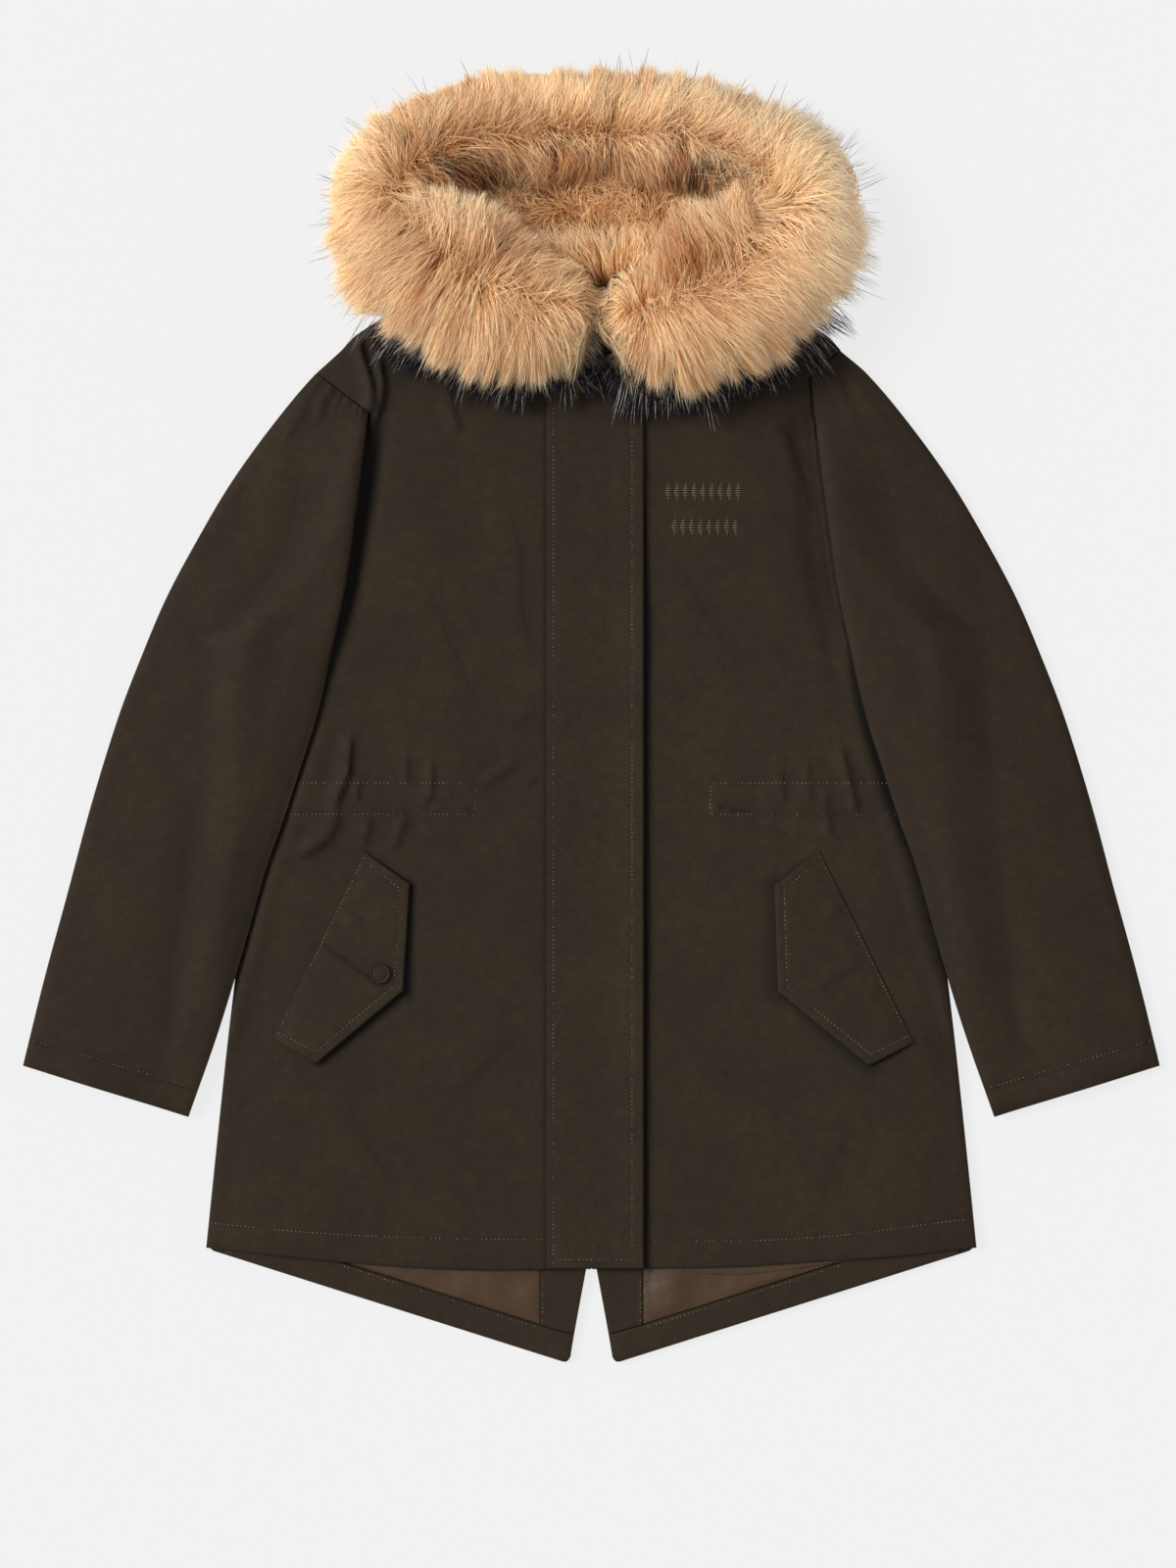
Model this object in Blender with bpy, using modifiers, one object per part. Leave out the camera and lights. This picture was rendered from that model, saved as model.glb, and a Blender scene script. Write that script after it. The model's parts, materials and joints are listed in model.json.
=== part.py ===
"""Fur trimmed parka, laid flat on its back with the hood open towards +Z.

The garment lies in the XY plane: +Y runs from the tail's tip to the top of the hood, +X to the
wearer's left, and Z = 0 is the surface that it lies on. Each cut piece of cloth is a closed wall
of its own. A piece that lies on another is worked out from the height of the one below, so every
layer keeps a small gap to the next. Sizes are in millimetres, and y is measured up from the tail.
"""

import math
from collections import namedtuple

import bmesh
import bpy
from mathutils import Vector

# ---------------------------------------------------------------- driving sizes, in millimetres

LENGTH = 1040.6  # tail's tip to the top of the fur
WALL = 4.0  # shell cloth, thin wadding and lining, sewn together
FLAP_WALL = 3.0  # double cloth of the storm flap and the pocket flaps
FACING_WALL = 2.0
LINING_WALL = 1.0
SEAM = 0.6  # gap between neighbours at a seam
REST = 0.5  # gap between a layer and the one that it lies on

HOLLOW = 3.0  # loft of a front above the back, and of a top sleeve above its under sleeve
EDGE_RUN = 60.0  # width over which that loft closes towards a side seam
ROUNDING = 2.2  # how far a wall's outer face drops at a folded edge
ROUND_RUN = 9.0

BODY_TOP = 2 * WALL + SEAM  # height of the two body layers at the side seam
CLIMB = 46.0  # run over which a sleeve climbs from the table on to the body
CLIMB_CLEAR = 8.0  # how far outside the body's edge it has reached full height

PLACKET_LEFT, PLACKET_RIGHT = -36.5, 42.0
PLACKET_FOOT, PLACKET_HEAD = 76.0, 812.0
PLACKET_LIFT = 2.4  # the free edge stands off the left front
FLAP_LIFT = 2.0

WAIST = 452.0
SNAP_RADIUS, SNAP_HEIGHT = 8.4, 2.2
SNAP_AT = (-169.2, 312.4)

HOOD_WALL = 3.0
HOOD_CENTRE = (5.0, 915.0)
NECK_SEAM = 865.0
NECK_DIP = 808.0  # y of the neckline at the centre front
RIM_RISE = 15.0  # height of the hood's edge above its base, at the sides and the top
PILE = 13.0  # lining fur
TRIM_CLEAR = 1.8
NECK_STEP = 18.5  # what the ends of the trim lie on: fronts and storm flap
NECK_NEAR, NECK_FAR = 12.0, 38.0  # outside the body's edge, where that support starts to end

# ------------------------------------------------------------------------ tables, in millimetres

Edge = namedtuple("Edge", "y x")  # x is the distance from the centre front

SIDE_SEAM = [Edge(91, 309), Edge(160, 302), Edge(236, 294), Edge(315, 285), Edge(452, 270),
             Edge(530, 264), Edge(580, 262)]
ARMHOLE = [Edge(580, 262), Edge(592, 247), Edge(608, 229), Edge(630, 211), Edge(660, 195),
           Edge(690, 186), Edge(715, 182)]
SHOULDER = [Edge(862, 95), Edge(846, 150), Edge(825, 187), Edge(812, 200), Edge(793, 221)]

SLEEVE_OUTER = [Edge(811, 200), Edge(793, 221), Edge(754, 254), Edge(707, 288), Edge(660, 316),
                Edge(613, 341), Edge(566, 361), Edge(519, 379), Edge(448, 401), Edge(377, 420),
                Edge(307, 439), Edge(238, 456)]
SLEEVE_FOLD = [Edge(790, 176), Edge(761, 179), Edge(739, 181), Edge(684, 188), Edge(621, 197),
               Edge(574, 207), Edge(542, 214), Edge(511, 222), Edge(483, 231), Edge(434, 247),
               Edge(398, 260), Edge(327, 280), Edge(262, 300), Edge(197, 323)]

# Where each armhole seam meets the shoulder's outline, and where the sleeve's fold hides it.
Armhole = namedtuple("Armhole", "side tip_x tip_y end_x end_y")
ARMHOLES = {-1: Armhole(-1, 221, 793, 180, 761.5), 1: Armhole(1, 200, 811, 176, 790)}
CUFF_OUTER, CUFF_INNER = 238.0, 197.0  # y of the cuff's two corners

Hem = namedtuple("Hem", "x y")
FRONT_HEM = {-1: [Hem(0, 75), Hem(88, 74), Hem(171, 78), Hem(256, 86), Hem(309, 92)],
             1: [Hem(0, 75), Hem(44, 76), Hem(120, 72), Hem(195, 79), Hem(256, 86), Hem(309, 92)]}

# Gathers in the waist casing: the outer face rises and falls across it.
Gather = namedtuple("Gather", "x height width above below")
GATHERS = {-1: [Gather(116, 2.2, 7, 45, 30), Gather(138, 3.0, 7, 70, 40), Gather(161, 3.4, 7, 90, 60),
                Gather(184, 4.2, 7, 80, 60), Gather(206, 4.6, 7, 120, 70)],
           1: [Gather(116, 2.0, 7, 35, 30), Gather(138, 2.8, 7, 50, 40), Gather(161, 3.2, 7, 60, 50),
               Gather(184, 3.8, 7, 80, 60), Gather(206, 4.4, 7, 90, 80)]}

# Pocket flap, wearer's left: the sewn edge runs from head to foot, the free edge past the points.
FLAP_HEAD, FLAP_FOOT = (182.0, 410.5), (256.7, 257.5)
FLAP_FREE = [(146.5, 384.0), (150.0, 296.7), (220.2, 238.0)]

# Tail of the back, wearer's left: hem from the side seam to the vent, and the vent's edge.
TAIL = [(309.0, 91.0), (178.0, 49.4), (22.0, 0.0), (17.2, 1.8), (13.7, 22.8), (3.9, 76.0)]
VENT_TOP = 96.0
FACING_WIDTH = 22.5  # hem facing of the tail
VENT_FACING = 41.0  # x of the vent facing's inner edge

# Trim: middle line of the fur roll, half its width, and the height of its crest.
Trim = namedtuple("Trim", "x y half crest")
TRIM = [Trim(-14, 829, 41, 76), Trim(-50, 833, 51, 84), Trim(-97, 848, 58, 88),
        Trim(-140, 880, 60, 88), Trim(-165, 920, 49, 84), Trim(-158, 955, 46, 80),
        Trim(-125, 977, 45, 78), Trim(-78, 990, 45, 76), Trim(0, 997, 43, 74),
        Trim(78, 990, 45, 76), Trim(128, 974, 46, 78), Trim(160, 954, 50, 80),
        Trim(168, 918, 54, 84), Trim(150, 878, 61, 88), Trim(110, 845, 60, 88),
        Trim(68, 830, 54, 86), Trim(29, 826, 41, 78)]
TRIM_STATIONS = 54
TRIM_ENDS = [(17.5, 0.45), (11.0, 0.80)]  # rounded ends: distance past the path, share of the size
CLUMPS, CLUMP_RELIEF = 13, 0.028

# Cross-section of the roll, from its inner foot over the crest to its outer foot.
Pile = namedtuple("Pile", "across height")
PILE_SECTION = [Pile(-0.80, 0.0), Pile(-0.96, 0.17), Pile(-1.0, 0.40), Pile(-0.91, 0.64),
                Pile(-0.68, 0.85), Pile(-0.35, 0.97), Pile(0.05, 1.0), Pile(0.42, 0.94),
                Pile(0.73, 0.78), Pile(0.93, 0.54), Pile(1.0, 0.30), Pile(0.93, 0.11),
                Pile(0.82, 0.0)]

# -------------------------------------------------------------------------------- small helpers


def at(x, y, z):
    """A point in metres, with the origin below the middle of the garment's box."""
    return Vector((x, y - LENGTH / 2, z)) / 1000


def ease(t):
    """0 to 1 with no corner at either end."""
    t = min(1.0, max(0.0, t))
    return t * t * (3 - 2 * t)


def along(table, t):
    """The table's second column at t in its first, on a smooth curve through its rows."""
    rows = sorted((row[0], row[1]) for row in table)
    if t <= rows[0][0]:
        return rows[0][1]
    if t >= rows[-1][0]:
        return rows[-1][1]
    i = max(k for k in range(len(rows) - 1) if rows[k][0] <= t)
    (t0, v0), (t1, v1) = rows[i], rows[i + 1]

    def slope(k):
        before, after = rows[max(0, k - 1)], rows[min(len(rows) - 1, k + 1)]
        return (after[1] - before[1]) / (after[0] - before[0])

    span = t1 - t0
    s = (t - t0) / span
    start = (1 + 2 * s) * (1 - s) ** 2 * v0 + s * (1 - s) ** 2 * span * slope(i)
    return start + s * s * (3 - 2 * s) * v1 - s * s * (1 - s) * span * slope(i + 1)


def between(a, b, t):
    return tuple(p + (q - p) * t for p, q in zip(a, b))


def steps(start, *stretches):
    """Values from start along stretches of (end, count), with every end among them."""
    values = [start]
    for end, count in stretches:
        values += [values[-1] + (end - values[-1]) * k / count for k in range(1, count + 1)]
    return values


# ------------------------------------------------------------- outlines and heights of the layers


def fold_x(y):
    return along(SLEEVE_FOLD, y)


def body_edge(side, y):
    """Distance from the centre front to the body's outline: side seam, armhole, shoulder."""
    hole = ARMHOLES[side]
    if y <= SIDE_SEAM[-1].y:
        return along(SIDE_SEAM, y)
    if y <= ARMHOLE[-1].y:
        return along(ARMHOLE, y)
    if y <= hole.end_y:
        return fold_x(y) - 1.4 * ease((y - ARMHOLE[-1].y) / 10) - SEAM
    if y <= hole.tip_y:
        t = (y - hole.end_y) / (hole.tip_y - hole.end_y)
        return hole.end_x + (hole.tip_x - hole.end_x) * t - SEAM
    return min(along(SHOULDER, y), hole.tip_x)


def neck_x(y):
    """Distance from the centre front to the front's neckline."""
    return 95.0 * math.sqrt(max(0.0, y - NECK_DIP) / (SHOULDER[0].y - NECK_DIP))


def body_top_y(x):
    """Height on the page of the shoulder's outline at this distance from the centre."""
    return along([(row.x, row.y) for row in SHOULDER], max(95.0, abs(x)))


def gather_relief(side, x, y):
    """How far the waist's gathers raise the outer face."""
    total = 0.0
    for fold in GATHERS[side]:
        reach = fold.above if y > WAIST else fold.below
        fade = ease(1 - abs(y - WAIST) / (reach + 14))
        total += fold.height * fade * math.exp(-(((x - fold.x) / fold.width) ** 2))
    return total


def front_loft(side, x, y):
    """Height of a front's inner face. x is the distance from the centre front."""
    from_side = body_edge(side, y) - x
    from_top = body_top_y(x) - y
    loft = HOLLOW * ease(from_side / EDGE_RUN + 0.02) * ease(from_top / EDGE_RUN + 0.02)
    return WALL + SEAM + loft


def front_outer(side, x, y):
    return front_loft(side, x, y) + WALL + gather_relief(side, x, y)


def sleeve_base(side, x, y):
    """Height of what a sleeve lies on: the table, or the body's side."""
    edge = body_edge(side, y)
    on_body = front_outer(side, min(x, edge), y) + REST + 0.5
    near = ease((edge + CLIMB_CLEAR + CLIMB - x) / CLIMB)
    return on_body * near * ease((786 - y) / 62)


# ---------------------------------------------------------------------- materials and collections

Finish = namedtuple("Finish", "red green blue roughness")
FINISHES = {
    "shell_cotton": Finish(0.037, 0.027, 0.019, 0.85),
    "facing_cotton": Finish(0.031, 0.022, 0.015, 0.88),
    "lining_satin": Finish(0.072, 0.047, 0.030, 0.45),
    "fur": Finish(0.62, 0.37, 0.19, 0.80),
    "snap_metal": Finish(0.030, 0.025, 0.020, 0.40),
}


def clear_scene():
    for old in list(bpy.data.objects):
        bpy.data.objects.remove(old, do_unlink=True)


def new_material(name):
    finish = FINISHES[name]
    material = bpy.data.materials.new(name)
    material.use_nodes = True
    shader = material.node_tree.nodes["Principled BSDF"]
    shader.inputs["Base Color"].default_value = (finish.red, finish.green, finish.blue, 1)
    shader.inputs["Roughness"].default_value = finish.roughness
    shader.inputs["Metallic"].default_value = 0.6 if name == "snap_metal" else 0.0
    return material


def place(obj, material):
    """Puts the object in the garment's collection with its material."""
    obj.data.materials.append(MATERIALS[material])
    PARKA.objects.link(obj)
    return obj


# -------------------------------------------------------------------- ways of making a cloth wall


def wall(name, rows, material, closed=False):
    """A closed wall through rows of (inner, outer) point pairs, all with the same count.

    With closed set, each row is a ring, and the first row is a small ring that is filled.
    """
    mesh = bmesh.new()
    inner = [[mesh.verts.new(pair[0]) for pair in row] for row in rows]
    outer = [[mesh.verts.new(pair[1]) for pair in row] for row in rows]
    count = len(rows[0])
    last = count if closed else count - 1
    for sheet in (inner, outer):
        for r in range(len(rows) - 1):
            for c in range(last):
                d = (c + 1) % count
                mesh.faces.new((sheet[r][c], sheet[r][d], sheet[r + 1][d], sheet[r + 1][c]))
        if closed:
            mesh.faces.new(sheet[0])
    rims = [(inner[-1], outer[-1])] if closed else [(inner[0], outer[0]), (inner[-1], outer[-1])]
    if not closed:
        rims += [([row[c] for row in inner], [row[c] for row in outer]) for c in (0, count - 1)]
    for low, high in rims:
        size = len(low)
        for k in range(size if closed else size - 1):
            m = (k + 1) % size
            mesh.faces.new((low[k], low[m], high[m], high[k]))
    return finished(name, mesh, material)


def finished(name, mesh, material):
    bmesh.ops.triangulate(mesh, faces=mesh.faces[:], quad_method="SHORT_EDGE")
    bmesh.ops.recalc_face_normals(mesh, faces=mesh.faces[:])
    data = bpy.data.meshes.new(name)
    mesh.to_mesh(data)
    mesh.free()
    data.shade_smooth()
    data.set_sharp_from_angle(angle=math.radians(35))
    return place(bpy.data.objects.new(name, data), material)


def sheet_piece(name, outline, low, thickness, material):
    """A flat piece: a filled outline, extruded to its thickness, with its underside at low."""
    curve = bpy.data.curves.new(name, "CURVE")
    curve.dimensions = "2D"
    curve.fill_mode = "BOTH"
    curve.extrude = thickness / 2000
    spline = curve.splines.new("POLY")
    spline.points.add(len(outline) - 1)
    for point, (x, y) in zip(spline.points, outline):
        point.co = (*at(x, y, 0)[:2], 0, 1)
    spline.use_cyclic_u = True
    obj = place(bpy.data.objects.new(name, curve), material)
    obj.location.z = (low + thickness / 2) / 1000
    return obj


def rounded(height, from_edge):
    """The outer face's height, dropped where a folded edge is near."""
    return height - ROUNDING * (1 - ease(from_edge / ROUND_RUN)) ** 2


# -------------------------------------------------------------------------------------- the body


def mirrored(points):
    return [(-x, y) for x, y in reversed(points)]


def make_back():
    halves = {}
    for side in (-1, 1):
        hole = ARMHOLES[side]
        heights = steps(92, (580, 7), (592, 1), (608, 1), (ARMHOLE[-1].y, 4), (hole.end_y, 2))
        edge = [(body_edge(side, y), y) for y in heights[1:] + [hole.tip_y]]
        edge += [(row.x, row.y) for row in SHOULDER[::-1] if row.y > hole.tip_y + 3]
        halves[side] = [(side * x, y) for x, y in TAIL[::-1] + edge]
    neck = [(70.0, 861.0), (0.0, 858.0), (-70.0, 861.0)]
    outline = [(0.0, VENT_TOP)] + halves[1] + neck + halves[-1][::-1]
    return sheet_piece("back", outline, 0, WALL, "shell_cotton")


def front_rows(side):
    """y of a front's rows above the hem, close together at the waist and the armhole."""
    hole = ARMHOLES[side]
    body = steps(150, (390, 4), (424, 2), (472, 5), (510, 2), (580, 2), (608, 2), (660, 2))
    armhole = steps(660, (ARMHOLE[-1].y, 2), (hole.end_y, 2), (hole.tip_y, 2), (853, 3))
    return body + armhole[1:]


def front_columns(side):
    """Shares across the front, with one on each gather's crest and one between gathers."""
    width = body_edge(side, WAIST)
    crests = [fold.x / width for fold in GATHERS[side]]
    gaps = [(a + b) / 2 for a, b in zip(crests, crests[1:])]
    ends = [(crests[0] - 11 / width), crests[-1] + 11 / width]
    return [0.0, 0.16, 0.30] + sorted(crests + gaps + ends) + [0.9, 0.96, 1.0]


def front_pair(side, share, y):
    near = max(neck_x(y), SEAM / 2 + 0.1)
    x = near + (body_edge(side, y) - near) * share
    outer = rounded(front_outer(side, x, y), body_edge(side, y) - x)
    return at(side * x, y, front_loft(side, x, y)), at(side * x, y, outer)


def make_front(name, side):
    rows = []
    first = front_rows(side)[0]
    for share_up in (0.0, 0.35):
        row = []
        for share in front_columns(side):
            hem_x = SEAM + share * along(SIDE_SEAM, 92)
            hem = along(FRONT_HEM[side], hem_x)
            y = hem + (first - hem) * share_up
            row.append(front_pair(side, share, y))
        rows.append(row)
    for y in front_rows(side):
        rows.append([front_pair(side, share, y) for share in front_columns(side)])
    return wall(name, rows, "shell_cotton")


def placket_low(x, y):
    side = 1 if x > 0 else -1
    lift = PLACKET_LIFT * ease((x - 16) / (PLACKET_RIGHT - 16))
    return front_outer(side, abs(x), y) + REST + lift


def make_placket():
    rows = []
    for y in steps(PLACKET_FOOT, (PLACKET_HEAD, 22)):
        row = []
        for x in steps(PLACKET_LEFT, (-31, 1), (16, 2), (37, 2), (PLACKET_RIGHT, 1)):
            from_edge = min(x - PLACKET_LEFT, PLACKET_RIGHT - x)
            low = placket_low(x, min(y, 770))
            high = low + FLAP_WALL - 0.9 * (1 - ease(from_edge / 5))
            row.append((at(x, y, low), at(x, y, high)))
        rows.append(row)
    return wall("placket", rows, "shell_cotton")


# ---------------------------------------------------------------------------------- pocket flaps


def free_point(t):
    """A point on the flap's free edge, from its head corner past the point to its foot corner."""
    a, b, c = FLAP_FREE
    turn = 0.5
    return between(a, b, t / turn) if t <= turn else between(b, c, (t - turn) / (1 - turn))


def flap_low(x, y, off_seam):
    return front_outer(1, x, y) + REST + FLAP_LIFT * ease(off_seam)


def make_pocket_flap(name, side):
    rows = []
    for s in steps(0, (1, 10)):
        sewn = between(FLAP_HEAD, FLAP_FOOT, s)
        free = free_point(s)
        row = []
        for t in (0.0, 0.1, 0.35, 0.65, 0.9, 1.0):
            x, y = between(sewn, free, t)
            low = flap_low(x, y, t)
            row.append((at(side * x, y, low), at(side * x, y, low + FLAP_WALL - 0.8 * (t in (0.0, 1.0)))))
        rows.append(row)
    return wall(name, rows, "shell_cotton")


def make_snap_cap():
    """A turned cap: low dome with a rolled rim."""
    x, y = SNAP_AT
    profile = [(0.0, SNAP_HEIGHT), (0.45, SNAP_HEIGHT * 0.96), (0.78, SNAP_HEIGHT * 0.72),
               (0.84, SNAP_HEIGHT * 0.62), (0.94, SNAP_HEIGHT * 0.55), (1.0, SNAP_HEIGHT * 0.3),
               (0.98, 0.0), (0.0, 0.0)]
    data = bpy.data.meshes.new("snap_cap")
    data.from_pydata([(r * SNAP_RADIUS / 1000, 0, z / 1000) for r, z in profile],
                     [(k, k + 1) for k in range(len(profile) - 1)], [])
    cap = place(bpy.data.objects.new("snap_cap", data), "snap_metal")
    turn = cap.modifiers.new("turned", "SCREW")
    turn.steps = turn.render_steps = 16
    turn.use_merge_vertices = True
    turn.merge_threshold = 0.00001
    turn.use_smooth_shade = True
    # The flap rises a little across the cap, so the cap stands on its highest point.
    under = [flap_low(-x + dx, y, 0.85) for dx in (-SNAP_RADIUS, 0, SNAP_RADIUS)]
    cap.location = at(x, y, max(under) + FLAP_WALL + REST + 0.4)
    return cap


# --------------------------------------------------------------------------------------- sleeves


def sleeve_ends(side, t):
    """Outer and inner end of the sleeve's section, t from the armhole to the cuff."""
    hole = ARMHOLES[side]
    outer_y = hole.tip_y + (CUFF_OUTER - hole.tip_y) * t
    inner_y = hole.end_y + (CUFF_INNER - hole.end_y) * t
    return (along(SLEEVE_OUTER, outer_y), outer_y), (fold_x(inner_y), inner_y)


def outside_body(side, outer, inner, share):
    x, y = between(outer, inner, share)
    return x - body_edge(side, y)


def share_at(side, outer, inner, distance):
    """Where the section comes within this distance of the body's edge, from its outer end."""
    low, high = 0.0, 1.0
    if outside_body(side, outer, inner, 1.0) > distance:
        return 1.0
    for _ in range(30):
        middle = (low + high) / 2
        if outside_body(side, outer, inner, middle) > distance:
            low = middle
        else:
            high = middle
    return high


def sleeve_columns(side, t):
    """Shares across a section: even on the table, then on the climb's foot, middle and head."""
    outer, inner = sleeve_ends(side, t)
    climb = [share_at(side, outer, inner, CLIMB_CLEAR + CLIMB * k) for k in (1.0, 0.6, 0.3, 0.0)]
    spare = [0.80, 0.85, 0.90, 0.94]
    climb = [min(max(c, 0.52 + 0.05 * k), s) for k, (c, s) in enumerate(zip(climb, spare))]
    return outer, inner, [0.0, 0.04, 0.12, 0.28, 0.42] + climb + [0.97, 1.0]


def sleeve_sections():
    return steps(0, (0.06, 3), (0.48, 12), (1.0, 9))


def under_top(side, x, y):
    return sleeve_base(side, x, y) + WALL


def make_under_sleeve(name, side):
    rows = []
    for t in sleeve_sections():
        outer, inner, columns = sleeve_columns(side, t)
        row = []
        for share in columns:
            x, y = between(outer, inner, share)
            x = max(x, body_edge(side, y) + SEAM) if y > 712 else x
            row.append((at(side * x, y, sleeve_base(side, x, y)), at(side * x, y, under_top(side, x, y))))
        rows.append(row)
    return wall(name, rows, "shell_cotton")


def make_top_sleeve(name, side):
    rows = []
    for t in sleeve_sections():
        outer, inner, columns = sleeve_columns(side, t)
        width = math.dist(outer, inner)
        row = []
        for share in columns:
            x, y = between(outer, inner, share)
            x = max(x, body_edge(side, y) + SEAM) if y > 712 else x
            loft = HOLLOW * math.sin(math.pi * share) ** 0.6 * ease(t / 0.1 + 0.1)
            low = under_top(side, x, y) + REST + loft
            from_edge = min(share, 1 - share) * width
            row.append((at(side * x, y, low), at(side * x, y, rounded(low + WALL, from_edge))))
        rows.append(row)
    return wall(name, rows, "shell_cotton")


# ------------------------------------------------------------------------------- inside the tail


def hem_line(x):
    """y of the tail's outer edge, wearer's left."""
    return along(TAIL[:3], x)


def make_tail_pieces(side_name, side):
    """Hem facing, vent facing and lining, which lie on the back inside the tail."""
    low = WALL + SEAM
    tip, end = 294.0, 240.0  # past end, the facing stops short of the front, which lies closer
    seam_y = hem_line(VENT_FACING) + FACING_WIDTH * 1.05
    band = [(tip, hem_line(tip) + SEAM), (22.0, 1.2), (18.0, 2.6), (14.2, 22.2),
            (VENT_FACING, seam_y), (end, hem_line(end) + FACING_WIDTH * 1.05),
            (end, along(FRONT_HEM[side], end) - 1), (tip, along(FRONT_HEM[side], tip) - 1)]
    vent = [(14.0, 22.2 + SEAM), (4.3, 76.0), (2.0, 90.0), (VENT_FACING, 90.0),
            (VENT_FACING, seam_y + SEAM)]
    lining = [(VENT_FACING + SEAM, seam_y + 2 * SEAM), (VENT_FACING + SEAM, 90.0), (215.0, 90.0),
              (215.0, hem_line(215) + FACING_WIDTH * 1.05 + SEAM)]
    for name, outline, thickness, material in (
        ("tail_facing_", band, FACING_WALL, "facing_cotton"),
        ("vent_facing_", vent, FACING_WALL, "facing_cotton"),
        ("lining_", lining, LINING_WALL, "lining_satin"),
    ):
        sheet_piece(name + side_name, [(side * x, y) for x, y in outline], low, thickness, material)


# ------------------------------------------------------------------------------------------ hood


def trim_path(t):
    """Middle, half width and crest of the roll at t, 0 to 1 along its rows."""
    place_on = t * (len(TRIM) - 1)
    columns = []
    for column in range(4):
        columns.append(along([(k, row[column]) for k, row in enumerate(TRIM)], place_on))
    return columns


def rim_radius(angle):
    """Distance from the hood's centre to its edge: the roll's middle, or the neck seam."""
    direction = Vector((math.cos(angle), math.sin(angle)))
    centre = Vector(HOOD_CENTRE)
    best = 400.0
    if direction.y < 0:
        best = (NECK_SEAM - centre.y) / direction.y
    ring = [Vector(trim_path(k / 60)[:2]) for k in range(61)]
    for a, b in zip(ring, ring[1:]):
        span = b - a
        cross = direction.x * span.y - direction.y * span.x
        if abs(cross) < 1e-9:
            continue
        offset = a - centre
        distance = (offset.x * span.y - offset.y * span.x) / cross
        share = (offset.x * direction.y - offset.y * direction.x) / cross
        if 0 <= share <= 1 and distance > 0:
            best = min(best, distance)
    return best


def rim_rise(angle):
    """The hood's edge stands up under the trim, and lies flat along the neck seam."""
    return RIM_RISE * ease((math.sin(angle) + 0.42) / 0.5)


def bowl_height(share, angle):
    return rim_rise(angle) * ease((share - 0.45) / 0.55)


def bowl_rings(margin, low_of, high_of, rings, spokes):
    rows = []
    for share in rings:
        row = []
        for k in range(spokes):
            angle = 2 * math.pi * k / spokes
            radius = (RADII[k % len(RADII)] - margin) * share
            x = HOOD_CENTRE[0] + radius * math.cos(angle)
            y = HOOD_CENTRE[1] + radius * math.sin(angle)
            row.append((at(x, y, low_of(share, angle)), at(x, y, high_of(share, angle))))
        rows.append(row)
    return rows


def make_hood():
    rows = bowl_rings(0.0, bowl_height, lambda r, a: bowl_height(r, a) + HOOD_WALL,
                      (0.06, 0.35, 0.5, 0.7, 0.85, 1.0), SPOKES)
    return wall("hood", rows, "shell_cotton", closed=True)


def lining_top(share, angle):
    tufts = 1.6 * math.sin(5 * angle + 7 * share) * ease(share * 2) * ease((1 - share) * 5)
    return bowl_height(share, angle) + HOOD_WALL + REST + PILE * (1 - 0.55 * share ** 4) + tufts


def make_hood_lining():
    rows = bowl_rings(4.0, lambda r, a: bowl_height(r, a) + HOOD_WALL + REST + 0.3 * r, lining_top,
                      (0.05, 0.22, 0.4, 0.58, 0.76, 0.9, 1.0), SPOKES)
    return wall("hood_lining", rows, "fur", closed=True)


def support_outside(x, y):
    """Height under the trim apart from the hood: the body near the neck, or the table."""
    outside = y - body_top_y(x)
    return NECK_STEP * ease((NECK_FAR - outside) / (NECK_FAR - NECK_NEAR))


def support_inside(x, y):
    """Height under the trim's inner half, where it may lie on the hood's lining."""
    dx, dy = x - HOOD_CENTRE[0], y - HOOD_CENTRE[1]
    angle = math.atan2(dy, dx) % (2 * math.pi)
    share = math.hypot(dx, dy) / rim_radius(angle)
    on_lining = lining_top(min(share, 1.0), angle) + TRIM_CLEAR + 1.2
    return max(support_outside(x, y), on_lining if share < 1.04 else 0.0)


def trim_section(x, y, half, crest, outward):
    """One closed section of the roll. It straddles the hood's edge, which stands at its middle."""
    points = []

    def add(across, height_share, foot):
        px, py = x + outward.x * across, y + outward.y * across
        points.append(at(px, py, foot + (crest - foot) * height_share))

    for row in PILE_SECTION:
        px, py = x + outward.x * row.across * half, y + outward.y * row.across * half
        foot = support_inside(px, py) if row.across < 0 else support_outside(px, py)
        add(row.across * half, row.height, foot)
    groove = max(support_inside(x, y), support_outside(x, y), 2.0)
    outer_foot = support_outside(x + outward.x * 5, y + outward.y * 5)
    add(0.45 * half, 0.0, support_outside(x + outward.x * 0.45 * half, y + outward.y * 0.45 * half))
    add(5.0, 0.0, min(outer_foot, groove - 0.8))
    add(3.6, 0.0, groove + 1.5)
    add(-0.12 * half, 0.0, groove + 1.5)
    add(-0.45 * half, 0.0, support_inside(x - outward.x * 0.45 * half, y - outward.y * 0.45 * half))
    return points


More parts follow.
